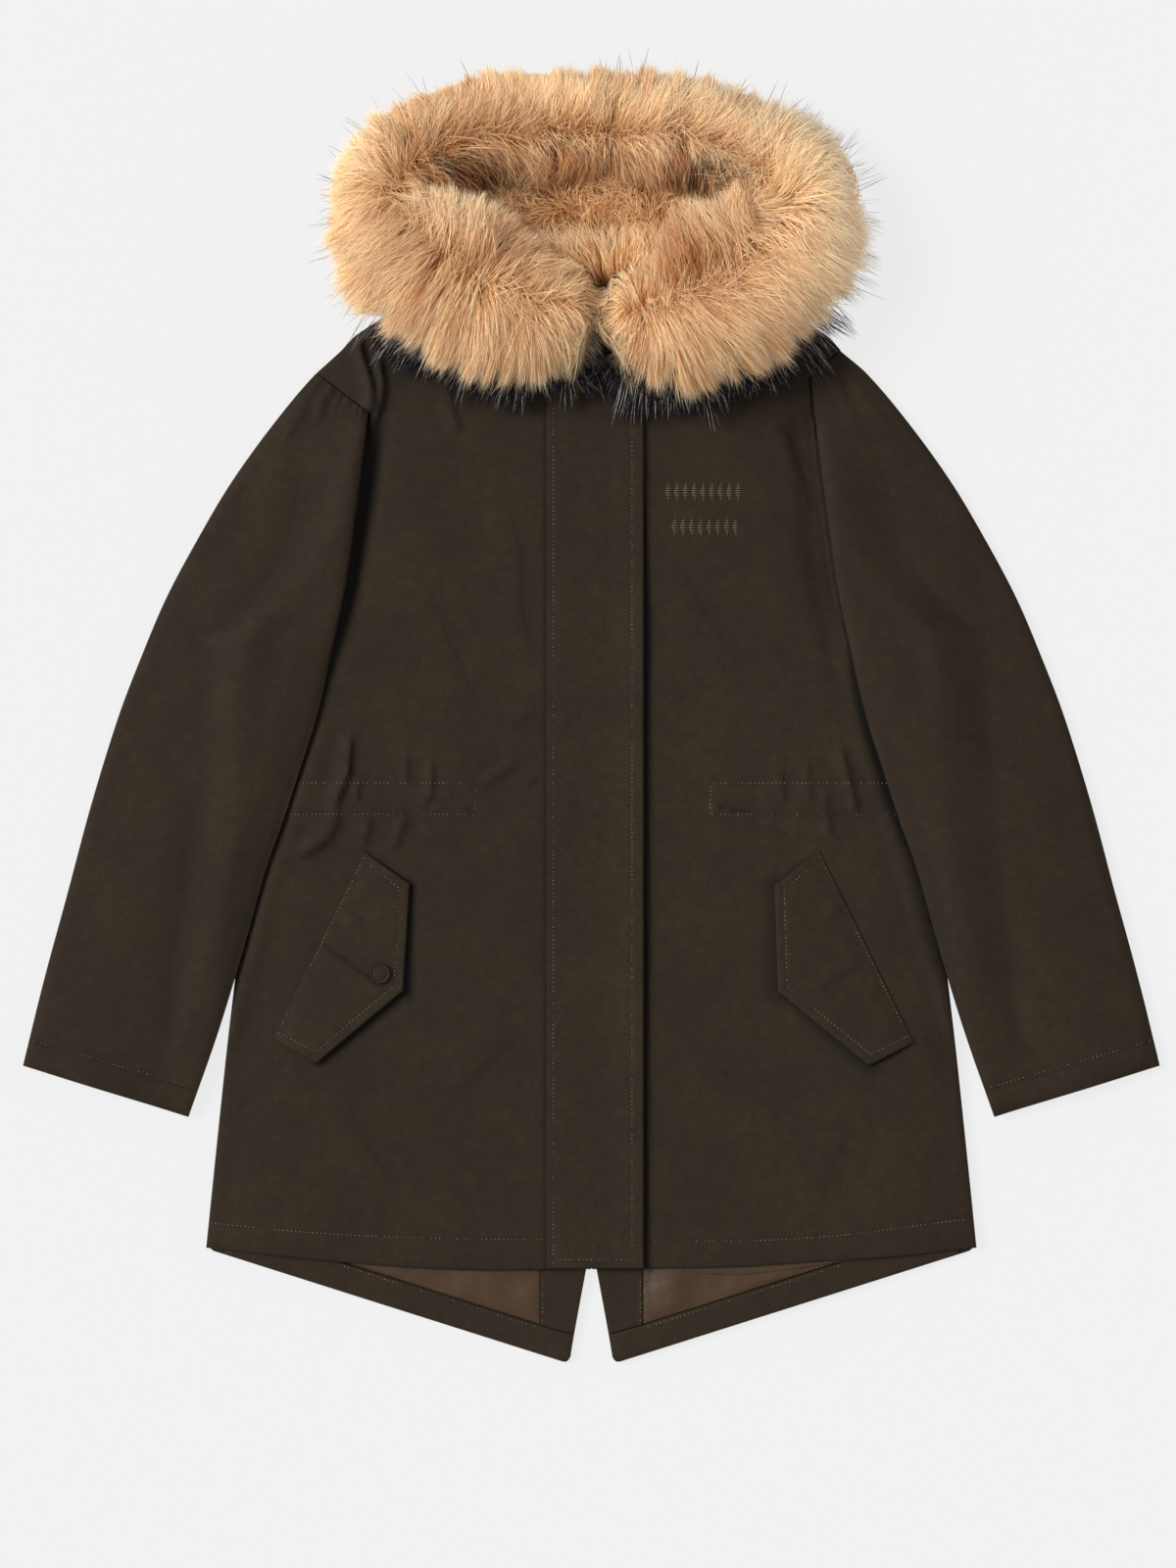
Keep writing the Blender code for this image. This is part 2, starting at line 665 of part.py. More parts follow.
def trim_stations():
    """Sections along the roll, with smaller ones past each end that round it off."""
    stations = []
    for k in range(TRIM_STATIONS + 1):
        t = k / TRIM_STATIONS
        x, y, half, crest = trim_path(t)
        ahead, behind = trim_path(min(1, t + 0.004)), trim_path(max(0, t - 0.004))
        run = Vector((ahead[0] - behind[0], ahead[1] - behind[1])).normalized()
        swell = 1 + CLUMP_RELIEF * math.sin(2 * math.pi * CLUMPS * t)
        stations.append((x, y, half * swell, crest * swell, run))
    first, last = stations[0], stations[-1]
    head = [(first[0] - first[4].x * d, first[1] - first[4].y * d, first[2] * s,
             NECK_STEP + (first[3] - NECK_STEP) * s, first[4]) for d, s in TRIM_ENDS]
    foot = [(last[0] + last[4].x * d, last[1] + last[4].y * d, last[2] * s,
             NECK_STEP + (last[3] - NECK_STEP) * s, last[4]) for d, s in TRIM_ENDS[::-1]]
    return head + stations + foot


def make_fur_trim():
    mesh = bmesh.new()
    rings = []
    for x, y, half, crest, run in trim_stations():
        # The path runs clockwise from the right lobe over the top, so outward is on its left.
        outward = Vector((-run.y, run.x))
        rings.append([mesh.verts.new(p) for p in trim_section(x, y, half, crest, outward)])
    for a, b in zip(rings, rings[1:]):
        for k in range(len(a)):
            m = (k + 1) % len(a)
            mesh.faces.new((a[k], a[m], b[m], b[k]))
    mesh.faces.new(rings[0])
    mesh.faces.new(rings[-1][::-1])
    return finished("fur_trim", mesh, "fur")


# ----------------------------------------------------------------------------------- the garment

clear_scene()
PARKA = bpy.data.collections.new("fur_trimmed_parka")
bpy.context.scene.collection.children.link(PARKA)
MATERIALS = {name: new_material(name) for name in FINISHES}
SPOKES = 30
RADII = [rim_radius(2 * math.pi * k / SPOKES) for k in range(SPOKES)]

make_back()
make_front("front_right", -1)
make_front("front_left", 1)
make_placket()
for side_name, side in (("right", -1), ("left", 1)):
    make_pocket_flap("pocket_flap_" + side_name, side)
    make_under_sleeve("under_sleeve_" + side_name, side)
    make_top_sleeve("top_sleeve_" + side_name, side)
    make_tail_pieces(side_name, side)
make_snap_cap()
make_hood()
make_hood_lining()
make_fur_trim()
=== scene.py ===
"""Looks of the fur trimmed parka, laid flat on its back with the hood open.

Lengths are in millimetres unless a name says otherwise: x runs to the wearer's left, y up from the
tail's tip and z up from the surface. metres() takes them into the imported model's frame.
"""

import json
import math
from collections import namedtuple

import bmesh
import bpy
import numpy as np
from mathutils.bvhtree import BVHTree
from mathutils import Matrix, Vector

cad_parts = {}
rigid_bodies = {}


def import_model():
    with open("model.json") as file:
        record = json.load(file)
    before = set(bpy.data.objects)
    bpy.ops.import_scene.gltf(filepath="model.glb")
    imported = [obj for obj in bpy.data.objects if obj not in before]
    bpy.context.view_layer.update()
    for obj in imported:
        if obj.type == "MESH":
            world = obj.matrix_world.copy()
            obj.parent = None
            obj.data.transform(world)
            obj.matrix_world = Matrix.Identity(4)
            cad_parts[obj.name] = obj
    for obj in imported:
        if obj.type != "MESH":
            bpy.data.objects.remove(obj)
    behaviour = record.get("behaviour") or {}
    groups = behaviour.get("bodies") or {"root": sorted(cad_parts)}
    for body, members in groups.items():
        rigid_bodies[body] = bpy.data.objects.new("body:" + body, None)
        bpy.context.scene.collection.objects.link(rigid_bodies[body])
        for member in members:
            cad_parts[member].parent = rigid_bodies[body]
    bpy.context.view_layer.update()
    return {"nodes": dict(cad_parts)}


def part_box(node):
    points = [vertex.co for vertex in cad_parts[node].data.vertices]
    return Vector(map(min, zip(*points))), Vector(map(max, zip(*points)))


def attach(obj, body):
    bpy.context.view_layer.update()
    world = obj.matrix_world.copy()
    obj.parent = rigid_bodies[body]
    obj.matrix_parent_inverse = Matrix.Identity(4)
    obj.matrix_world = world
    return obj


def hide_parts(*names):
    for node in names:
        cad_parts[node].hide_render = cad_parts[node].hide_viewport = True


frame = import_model()

# ------------------------------------------------------------------------------------ back panel
# The back is the layer that the coat lies on, with the drop tail and its centre vent. It is the
# shell cotton with thin wadding and lining, sewn as one wall. Of it, only the folded edges show.

SIDES = (("right", -1), ("left", 1))  # the wearer's, with the sign of x
LENGTH = 1040.6  # tail's tip to the top of the fur
WALL = 4.0  # shell cloth, wadding and lining
SEAM = 0.6  # gap at a seam

NECK_SIDE, NECK_TOP = 95.0, 862.0  # where the shoulder meets the neck: x and y
Edge = namedtuple("Edge", "y x")  # x is the distance from the centre front
SIDE_SEAM = [Edge(91, 309), Edge(160, 302), Edge(236, 294), Edge(315, 285), Edge(452, 270),
             Edge(530, 264), Edge(580, 262)]
ARMHOLE = [Edge(580, 262), Edge(592, 247), Edge(608, 229), Edge(630, 211), Edge(660, 195),
           Edge(690, 186), Edge(715, 182)]
SHOULDER = [Edge(NECK_TOP, NECK_SIDE), Edge(846, 150), Edge(825, 187), Edge(812, 200), Edge(793, 221)]
SLEEVE_FOLD = [Edge(790, 176), Edge(761, 179), Edge(739, 181), Edge(684, 188), Edge(621, 197),
               Edge(574, 207), Edge(542, 214), Edge(511, 222), Edge(483, 231), Edge(434, 247),
               Edge(398, 260), Edge(327, 280), Edge(262, 300), Edge(197, 323)]
Armhole = namedtuple("Armhole", "tip_x tip_y end_x end_y")
ARMHOLES = {-1: Armhole(221, 793, 180, 761.5), 1: Armhole(200, 811, 176, 790)}


def metres(points):
    """Points in millimetres, taken into the model's frame."""
    return (np.asarray(points, float) - (0, LENGTH / 2, 0)) / 1000


def ease(t):
    """0 to 1 with no corner at either end."""
    t = np.clip(t, 0, 1)
    return t * t * (3 - 2 * t)


def along(table, t):
    """The table's second column at t in its first, on a smooth curve through its rows."""
    rows = np.array(sorted((row[0], row[1]) for row in table), float)
    place, value = rows.T
    last = len(rows) - 1
    ahead, behind = np.minimum(np.arange(last + 1) + 1, last), np.maximum(np.arange(last + 1) - 1, 0)
    slope = (value[ahead] - value[behind]) / (place[ahead] - place[behind])
    t = np.clip(t, place[0], place[-1])
    i = np.clip(np.searchsorted(place, t, side="right") - 1, 0, last - 1)
    span = place[i + 1] - place[i]
    s = (t - place[i]) / span
    start = (1 + 2 * s) * (1 - s) ** 2 * value[i] + s * (1 - s) ** 2 * span * slope[i]
    return start + s * s * (3 - 2 * s) * value[i + 1] - s * s * (1 - s) * span * slope[i + 1]


def fold_x(y):
    """Distance from the centre front to the sleeve's inner edge."""
    return along(SLEEVE_FOLD, y)


def body_edge(side, y):
    """Distance from the centre front to the body's outline: side seam, armhole, shoulder."""
    hole = ARMHOLES[side]
    y = np.asarray(y, float)
    under_arm = fold_x(y) - 1.4 * ease((y - ARMHOLE[-1].y) / 10) - SEAM
    cap = hole.end_x + (hole.tip_x - hole.end_x) * (y - hole.end_y) / (hole.tip_y - hole.end_y) - SEAM
    return np.select(
        [y <= SIDE_SEAM[-1].y, y <= ARMHOLE[-1].y, y <= hole.end_y, y <= hole.tip_y],
        [along(SIDE_SEAM, y), along(ARMHOLE, y), under_arm, cap],
        np.minimum(along(SHOULDER, y), hole.tip_x))


def linear(colour):
    """An sRGB hex colour as linear red, green, blue and alpha."""
    levels = [int(colour[k:k + 2], 16) / 255 for k in (1, 3, 5)]
    return [(c / 12.92 if c <= 0.04045 else ((c + 0.055) / 1.055) ** 2.4) for c in levels] + [1.0]


def add_node(tree, kind, inputs=(), **settings):
    """One shader node, with its settings, and a value or another node's output for each input."""
    node = tree.nodes.new(kind)
    for name, value in settings.items():
        setattr(node, name, value)
    for name, value in dict(inputs).items():
        if isinstance(value, bpy.types.NodeSocket):
            tree.links.new(value, node.inputs[name])
        else:
            node.inputs[name].default_value = value
    return node


def new_material(name, **values):
    """A material with these values on its shader's sockets. Returns it, its nodes and the shader."""
    material = bpy.data.materials.new(name)
    material.use_nodes = True
    shader = material.node_tree.nodes["Principled BSDF"]
    for socket, value in values.items():
        shader.inputs[socket.replace("_", " ")].default_value = value
    return material, material.node_tree, shader


def woven_cotton(name, dark, pale, roughness=0.82, wax=0.18):
    """Tightly woven cotton with a dry wax finish: matt, with a faint slub, and painted shade in its
    creases.
    """
    material, tree, shader = new_material(name, Roughness=roughness, Specular_IOR_Level=wax, IOR=1.47)
    here = add_node(tree, "ShaderNodeTexCoord").outputs["Object"]
    # Threads are 0.4 mm apart. They are drawn as 1.3 mm slubs, which still show as a grain.
    stretch = add_node(tree, "ShaderNodeMapping", {"Vector": here, "Scale": (1.0, 0.45, 1.0)})
    slub = add_node(tree, "ShaderNodeTexNoise",
                    {"Vector": stretch.outputs[0], "Scale": 770.0, "Detail": 2.0})
    clouds = add_node(tree, "ShaderNodeTexNoise", {"Vector": here, "Scale": 16.0, "Detail": 4.0})
    mottle = add_node(tree, "ShaderNodeTexNoise", {"Vector": here, "Scale": 130.0, "Detail": 3.0})
    some = add_node(tree, "ShaderNodeMath",
                    {0: clouds.outputs["Fac"], 1: mottle.outputs["Fac"]}, operation="ADD")
    more = add_node(tree, "ShaderNodeMath",
                    {0: some.outputs[0], 1: slub.outputs["Fac"]}, operation="ADD")
    tone = add_node(tree, "ShaderNodeMapRange",
                    {"Value": more.outputs[0], "From Min": 1.05, "From Max": 1.95})
    cloth = add_node(tree, "ShaderNodeMix",
                     {0: tone.outputs[0], 6: linear(dark), 7: linear(pale)}, data_type="RGBA")
    # Painted shade: where the mesh's crease attribute is set, the cloth's colour is mixed towards near
    # black, as in a deep crease.
    crease = add_node(tree, "ShaderNodeAttribute", attribute_name="crease")
    crease_painted_shade = add_node(tree, "ShaderNodeMix",
                     {0: crease.outputs["Fac"], 6: cloth.outputs[2], 7: linear("#040302")},
                     data_type="RGBA")
    tree.links.new(crease_painted_shade.outputs[2], shader.inputs["Base Color"])
    relief = add_node(tree, "ShaderNodeBump",
                      {"Height": more.outputs[0], "Strength": 0.25, "Distance": 0.0006})
    tree.links.new(relief.outputs[0], shader.inputs["Normal"])
    return material


SHELL = woven_cotton("waxed_shell_cotton", "#1c150c", "#281e12")


def add_piece(name, data, material):
    """A smooth shaded piece of the part, which rides on its one body."""
    data.shade_smooth()
    data.materials.append(material)
    piece = bpy.data.objects.new(name, data)
    bpy.context.scene.collection.objects.link(piece)
    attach(piece, "root")
    return piece


def grids(x, y, top, low, step=4):
    """The outer grid of a wall of cloth, and an inner grid of every step-th point."""
    return np.stack([x, y, top], -1), np.stack([x, y, low], -1)[::step, ::step]


def cloth_wall(name, outer, inner, material=SHELL, slot="shell_cotton", ring=False, crease=None):
    """A closed wall of cloth between a fine outer grid and a coarser inner grid of points.

    With ring set, the grids' columns join round, and the first row is filled as a small disc.
    crease, from 0 to 1, is how much painted shade each outer point takes, as in a crease.
    """
    rows, columns = outer.shape[:2]
    low_rows, low_columns = inner.shape[:2]
    high = np.arange(rows * columns).reshape(rows, columns)
    low = np.arange(low_rows * low_columns).reshape(low_rows, low_columns) + rows * columns
    faces = []
    for grid in (high, low):
        if ring:
            grid = np.concatenate([grid, grid[:, :1]], 1)
        quads = np.stack([grid[:-1, :-1], grid[:-1, 1:], grid[1:, 1:], grid[1:, :-1]], -1)
        faces += quads.reshape(-1, 4).tolist()
    if ring:
        rims = [(np.append(high[-1], high[-1, 0]), np.append(low[-1], low[-1, 0]))]
        faces += [high[0].tolist(), low[0].tolist()]
    else:
        rims = [(high[0], low[0]), (high[-1], low[-1]), (high[:, 0], low[:, 0]), (high[:, -1], low[:, -1])]
    for top, foot in rims:
        step = (len(top) - 1) // (len(foot) - 1)
        for k in range(len(foot) - 1):
            faces.append([*top[k * step:(k + 1) * step + 1].tolist(), int(foot[k + 1]), int(foot[k])])
    data = bpy.data.meshes.new(name)
    points = metres(np.concatenate([outer.reshape(-1, 3), inner.reshape(-1, 3)]))
    data.from_pydata(points.tolist(), [], faces)
    mesh = bmesh.new()
    mesh.from_mesh(data)
    bmesh.ops.recalc_face_normals(mesh, faces=mesh.faces[:])
    mesh.to_mesh(data)
    mesh.free()
    piece = add_piece(name, data, material)
    data.set_sharp_from_angle(angle=math.radians(50))
    if crease is not None:
        depth = np.concatenate([crease.ravel(), np.zeros(low.size)]).astype(np.float32)
        data.attributes.new("crease", "FLOAT", "POINT").data.foreach_set("value", depth)
    return piece


def fold_drop(off_edge, radius):
    """How far a folded edge drops at this distance from it, on a quarter circle."""
    off = np.clip(off_edge, 0, radius)
    return radius - np.sqrt(np.maximum(radius ** 2 - (radius - off) ** 2, 0))


VENT_TOP = 96.0
TAIL_HEM = [(309.0, 91.0), (178.0, 49.4), (22.0, 0.0)]  # x, y
VENT_EDGE = [(1.8, 17.2), (22.8, 13.7), (76.0, 3.9), (VENT_TOP, 0.3)]  # y, x
PANEL_TOP = NECK_TOP - 1.0


def under_seam(side, y, reach):
    """The body's outline, let out by a seam allowance where the sleeve lies over it or is set in."""
    let_out = np.maximum(body_edge(side, y), np.where(y < 761, fold_x(y) + reach, 0))
    cap = body_edge(side, y) + reach * ease((ARMHOLES[side].tip_y + 2 - y) / 14)
    return np.where(y < 640, body_edge(side, y), np.where(y < 758, let_out, cap))


def with_corners(levels, side):
    """Heights of rows, with more close to both ends of the armhole's slanted top."""
    hole = ARMHOLES[side]
    corners = [hole.end_y - 0.3, hole.end_y + 0.3, hole.tip_y - 0.3, hole.tip_y + 0.3]
    return np.sort(np.append(levels, corners))


for side_name, side in SIDES:
    levels = with_corners(0.4 + (PANEL_TOP - 0.4) * np.linspace(0, 1, 161) ** 1.25, side)
    shares = np.concatenate([[0, 0.002, 0.006], np.linspace(0.012, 0.988, 39), [0.994, 0.998, 1]])
    y, share = np.meshgrid(levels, shares, indexing="ij")
    from_hem = along([(row[1], row[0]) for row in TAIL_HEM], y)
    outside = np.where(y < 91, from_hem, under_seam(side, y, 3.4))
    middle = np.where(y < VENT_TOP, along(VENT_EDGE, y) + 2.6 * (1 - ease(y / 3.4)), 0.1)
    x = middle + (outside - middle) * share
    top = WALL - fold_drop(np.minimum(outside - x, np.where(y < VENT_TOP, x - middle, 9.0)), 1.6)
    back = cloth_wall("back_cloth_" + side_name, *grids(side * x, y, top, 0 * y))
    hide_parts("back")

# ---------------------------------------------------------------------- inside of the drop tail
# Below the front's hem the inside of the back shows: a turned up hem facing and vent facings of
# the shell cotton, edge stitched, and between them a brown taffeta lining that catches the light.

FACING = woven_cotton("facing_cotton", "#1e170e", "#281f13")
FACING_WALL, LINING_WALL = 2.0, 1.0
FACING_RISE = 1.05 * 22.5  # the hem facing's width, measured straight up from its slanted hem
VENT_FACING = 41.0  # x of the vent facing's inner edge
FACING_SIDE, LINING_SIDE = 294.0, 215.0  # x where the hem facing and the lining end
UNDER_FRONT = 90.0  # y where the pieces end under the front
Hem = namedtuple("Hem", "x y")
FRONT_HEM = {-1: [Hem(0, 75), Hem(88, 74), Hem(171, 78), Hem(256, 86), Hem(309, 92)],
             1: [Hem(0, 75), Hem(56, 75.4), Hem(90, 76), Hem(131, 77.3), Hem(178, 80.5), Hem(209, 82.4),
                 Hem(256, 86), Hem(309, 92)]}


def ripple(x, y, size, seed):
    """Smooth seeded noise from -1 to 1, with humps about this size apart."""
    lattice = np.random.default_rng(seed).uniform(-1, 1, (64, 64))
    u, v = np.asarray(x) / size, np.asarray(y) / size
    i, j = np.floor(u).astype(int), np.floor(v).astype(int)
    right, up = ease(u - i), ease(v - j)
    low = lattice[i % 64, j % 64] * (1 - right) + lattice[(i + 1) % 64, j % 64] * right
    high = lattice[i % 64, (j + 1) % 64] * (1 - right) + lattice[(i + 1) % 64, (j + 1) % 64] * right
    return low * (1 - up) + high * up


def grid_piece(name, x, y, top, thickness, radius, material, slot):
    """A flat piece of cloth on a grid of x and y, with a top height and folded edges."""
    corners = np.stack([x, y], -1)
    ends = [corners[[k]] for k in (0, -1)] + [corners[:, [k]] for k in (0, -1)]
    off_edge = np.minimum.reduce([np.linalg.norm(corners - end, axis=-1) for end in ends])
    outer_and_inner = grids(x, y, top - fold_drop(off_edge, radius), top - thickness)
    return cloth_wall(name, *outer_and_inner, material, slot)


def spread(count, edge):
    """Shares from 0 to 1, in steps, with one more close to each end and the next at edge."""
    close = edge * 0.175
    return np.concatenate([[0, close], np.linspace(edge, 1 - edge, count - 3), [1 - close, 1]])


def tail_hem(x):
    """y of the tail's slanted hem."""
    return along(TAIL_HEM, x)


for side_name, side in SIDES:
    low = WALL + SEAM
    # Hem facing: from the vent's corner to the side, from the hem up to its stitched top edge.
    run = np.linspace(0, 1, 81)
    across = spread(12, 0.03)
    x_low, x_high = 18.0 + (FACING_SIDE - 18.0) * run, 14.2 + (FACING_SIDE - 14.2) * run
    y_low = np.maximum(tail_hem(x_low) + SEAM, 2.0)
    beside_vent = np.interp(x_high, (14.2, VENT_FACING), (22.2, 29.6))
    y_high = np.where(x_high < VENT_FACING, beside_vent, tail_hem(x_high) + FACING_RISE)
    y_high = np.minimum(y_high, along(FRONT_HEM[side], x_high) + 6)
    x = x_low[:, None] + (x_high - x_low)[:, None] * across
    y = y_low[:, None] + (y_high - y_low)[:, None] * across
    pucker = 0.35 * ripple(x * 1.6, y, 9, 11 + side) + 0.25 * ripple(x, y, 22, 21 + side)
    facing = grid_piece("tail_facing_cloth_" + side_name, side * x, y,
                        low + FACING_WALL + 0.2 + pucker, FACING_WALL, 0.9, FACING, "facing_cotton")
    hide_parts("tail_facing_" + side_name)

    # Vent facing: from the slanted edge of the vent to the lining.
    rise, across = np.meshgrid(np.linspace(0, 1, 41), spread(20, 0.04), indexing="ij")
    foot = 22.8 + (tail_hem(VENT_FACING) + FACING_RISE + SEAM - 22.8) * across
    y = foot + (UNDER_FRONT - foot) * rise
    edge = along(VENT_EDGE, y) + 0.4
    x = edge + (VENT_FACING - edge) * across
    slack = 0.4 * ripple(x, y, 14, 31 + side)
    facing = grid_piece("vent_facing_cloth_" + side_name, side * x, y,
                        low + FACING_WALL + slack, FACING_WALL, 0.7, FACING, "facing_cotton")
    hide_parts("vent_facing_" + side_name)

# Taffeta is a smooth, close weave of shiny filament, so it crumples sharply and takes soft lights.
TAFFETA, tree, shader = new_material("brown_taffeta", Roughness=0.42, Specular_IOR_Level=0.25,
                                     Sheen_Weight=0.08, Sheen_Roughness=0.4)
here = add_node(tree, "ShaderNodeTexCoord").outputs["Object"]
cloud = add_node(tree, "ShaderNodeTexNoise", {"Vector": here, "Scale": 45.0, "Detail": 3.0})
crumple = add_node(tree, "ShaderNodeTexNoise", {"Vector": here, "Scale": 160.0, "Detail": 4.0})
sheen = add_node(tree, "ShaderNodeMix",
                 {0: cloud.outputs["Fac"], 6: linear("#2e2013"), 7: linear("#402d1b")}, data_type="RGBA")
relief = add_node(tree, "ShaderNodeBump",
                  {"Height": crumple.outputs["Fac"], "Strength": 0.5, "Distance": 0.001})
tree.links.new(sheen.outputs[2], shader.inputs["Base Color"])
tree.links.new(relief.outputs[0], shader.inputs["Normal"])

for side_name, side in SIDES:
    rise, run = np.meshgrid(np.linspace(0, 1, 33), np.linspace(0, 1, 69), indexing="ij")
    x = VENT_FACING + SEAM + (LINING_SIDE - VENT_FACING - SEAM) * run
    foot = tail_hem(x) + FACING_RISE + 2 * SEAM
    y = foot + (UNDER_FRONT - foot) * rise
    drape = 0.9 * ripple(x, y * 1.5, 30, 41 + side) + 0.5 * ripple(x, y * 1.4, 13, 51 + side) + 0.7
    if side == 1:  # the lining stands up against the vent facing, then sinks into a hollow
        drape = drape + 2.2 * np.exp(-((x - 66) / 12) ** 2) - 1.4 * np.exp(-((x - 96) / 12) ** 2)
    top = WALL + SEAM + LINING_WALL + np.maximum(drape, 0) * ease(rise * 6) * ease(run * 14)
    lining = grid_piece("lining_cloth_" + side_name, side * x, y, top, LINING_WALL, 0.4,
                        TAFFETA, "lining_satin")
    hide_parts("lining_" + side_name)

# ----------------------------------------------------------------------------------- two fronts
# Each front is shell cotton over thin wadding. A cord runs in a stitched casing at the waist, and
# gathers the cloth near the side into deep folds. The hem is turned up and stitched once.

HOLLOW = 3.0  # loft of a front above the back
EDGE_RUN = 60.0  # over which a front rises to its loft
NECK_DIP = 808.0  # y where the neck opening starts
HEM_ROWS_END = 150.0  # y up to which rows follow the hem
CASING = (439.6, 464.7)  # y of its two stitch rows
CASING_END = {-1: 93.0, 1: 95.4}  # x where it is closed
HEM_STITCH = {-1: [(38, 99), (125, 100), (217, 104), (305, 112)],
              1: [(49, 97), (173, 100), (301, 115)]}

# A fold's line runs downwards. It falls off to the wearer's right over its west width and to the
# left over its east one.
Fold = namedtuple("Fold", "height west east line")
FOLDS = {
    -1: [
        Fold(3.6, 8, 2.0, [(-192, 510), (-193, 490), (-196, 468), (-202, 455), (-206, 436)]),
        Fold(3.0, 8, 6.0, [(-204, 452), (-208, 433), (-215, 421), (-227, 413), (-246, 404)]),
        Fold(2.0, 5, 1.8, [(-184, 470), (-187, 460), (-188, 448)]),
        Fold(1.8, 6, 2.0, [(-127, 490), (-128, 467), (-129, 455), (-138, 443)]),
        Fold(1.6, 6, 3.0, [(-149, 441), (-153, 426), (-162, 407)]),
        Fold(1.4, 5, 3.0, [(-177, 440), (-180, 426), (-186, 411)]),
        Fold(1.2, 5, 4.0, [(-150, 492), (-149, 472), (-151, 462)]),
        Fold(0.9, 3, 2.0, [(-116, 464), (-113, 454)]),
        Fold(1.0, 5, 3.0, [(-42, 472), (-57, 463)]),
        Fold(1.2, 6, 3.5, [(-56, 486), (-77, 470), (-93, 461)]),
        Fold(1.1, 7, 5.0, [(-41, 528), (-69, 509)]),
        Fold(1.5, 8, 4.0, [(-118, 784), (-111, 758), (-105, 743)]),
        Fold(0.9, 14, 8.0, [(-76, 692), (-68, 667), (-63, 640), (-62, 605), (-56, 578), (-49, 556)]),
        Fold(5.0, 7, 2.6, [(-188, 840), (-185, 812), (-178, 790), (-176, 772), (-180, 757),
                           (-184, 738), (-188, 700)]),
        Fold(4.6, 5, 2.4, [(-172, 830), (-170, 804), (-167, 785), (-169, 769), (-173, 755),
                           (-178, 733), (-183, 700)]),
        Fold(1.2, 16, 12.0, [(-64, 273), (-85, 252), (-120, 218)]),
        Fold(0.9, 18, 14.0, [(-150, 640), (-120, 560), (-100, 520)]),
        Fold(0.8, 16, 12.0, [(-214, 225), (-190, 170), (-160, 130)]),
    ],
    1: [
        Fold(2.3, 7, 2.2, [(196, 500), (203, 483), (207, 466), (211, 450), (214, 436)]),
        Fold(1.4, 6, 3.0, [(187, 462), (188, 443), (190, 430), (191, 416)]),
        Fold(2.2, 5, 1.8, [(92, 449), (103, 445), (116, 441), (132, 440)]),
        Fold(1.3, 9, 6.0, [(143, 763), (153, 739), (163, 713), (169, 690), (173, 674)]),
        Fold(1.4, 6, 3.5, [(150, 480), (152, 462), (154, 445)]),
        Fold(1.0, 6, 3.5, [(172, 486), (173, 465), (176, 446)]),
        Fold(0.9, 16, 12.0, [(60, 640), (85, 590), (120, 540)]),
        Fold(1.0, 16, 12.0, [(70, 250), (110, 215), (150, 190)]),
        Fold(0.8, 18, 14.0, [(200, 200), (180, 160), (170, 120)]),
        Fold(0.8, 12, 9.0, [(258, 262), (268, 248), (280, 236)]),
    ],
}


def ripples(x, y, *parts):
    """A sum of ripples, each given as its height, size and seed."""
    return sum(height * ripple(x, y, size, seed) for height, size, seed in parts)


def hollows(height, reach=3):
    """How far a grid's points lie below the mean of those around them, up to 1 at 1.6 mm."""
    size = 2 * reach + 1
    total = np.pad(np.pad(height, reach, mode="edge"), ((1, 0), (1, 0)))
    total = np.cumsum(np.cumsum(total, 0), 1)
    ahead, behind = slice(size, None), slice(None, -size)
    around = total[ahead, ahead] - total[behind, ahead] - total[ahead, behind] + total[behind, behind]
    return np.clip((around / size ** 2 - height) / 1.6, 0, 1)


def off_line(a, b, x, y):
    """Offsets in x and y from the nearest point of the line from a to b, and its share of the way."""
    sx, sy = b[0] - a[0], b[1] - a[1]
    t = np.clip(((x - a[0]) * sx + (y - a[1]) * sy) / (sx * sx + sy * sy), 0, 1)
    return x - a[0] - sx * t, y - a[1] - sy * t, t


def fold_relief(folds, x, y):
    """Height that a list of folds adds at x and y, and painted shade in the crease at their east, unlit
    sides.
    """
    total = np.zeros(np.broadcast(x, y).shape)
    crease = np.zeros(total.shape)
    for fold in folds:
        count = len(fold.line)
        place = np.linspace(0, count - 1, 3 * (count - 1) + 1)
        route = np.stack([along([(k, point[c]) for k, point in enumerate(fold.line)], place)
                          for c in (0, 1)], 1)
        nearest, signed, share = np.full(total.shape, 1e9), np.zeros(total.shape), np.zeros(total.shape)
        for k, (a, b) in enumerate(zip(route, route[1:])):
            dx, dy, t = off_line(a, b, x, y)
            off = np.hypot(dx, dy)
            closer = off < nearest
            nearest = np.where(closer, off, nearest)
            signed = np.where(closer, (b[0] - a[0]) * dy - (b[1] - a[1]) * dx, signed)
            share = np.where(closer, (k + t) / (len(place) - 1), share)
        width = np.where(signed > 0, fold.east, fold.west)
        fade = ease(share * 3.5 + 0.05) * ease((1 - share) * 3.5 + 0.05)
        total += fold.height * fade * np.exp(-(nearest / width) ** 2)
        # Painted shade along the crease beside each fold's east side, away from the key light.
        east = np.where(signed > 0, nearest, -nearest)
        blur = 0.45 + 0.5 * min(fold.east, 3.0)
        line = np.minimum(1, 1.4 * np.exp(-((east - 0.9 * fold.east) / blur) ** 2))
        crease = np.maximum(crease, min(1.0, fold.height / 4) * ease(fade) * line)
    return total, crease


# The pocket flaps' corners: the sewn edge's head, three along the free edge, the sewn edge's foot.
FLAP_CORNERS = {
    -1: [(-181.7, 409.8), (-145.5, 383.9), (-150.7, 298.5), (-220.0, 240.5), (-255.5, 259.8)],
    1: [(182.5, 411.0), (146.7, 382.6), (149.4, 297.9), (222.4, 238.6), (258.4, 256.7)],
}
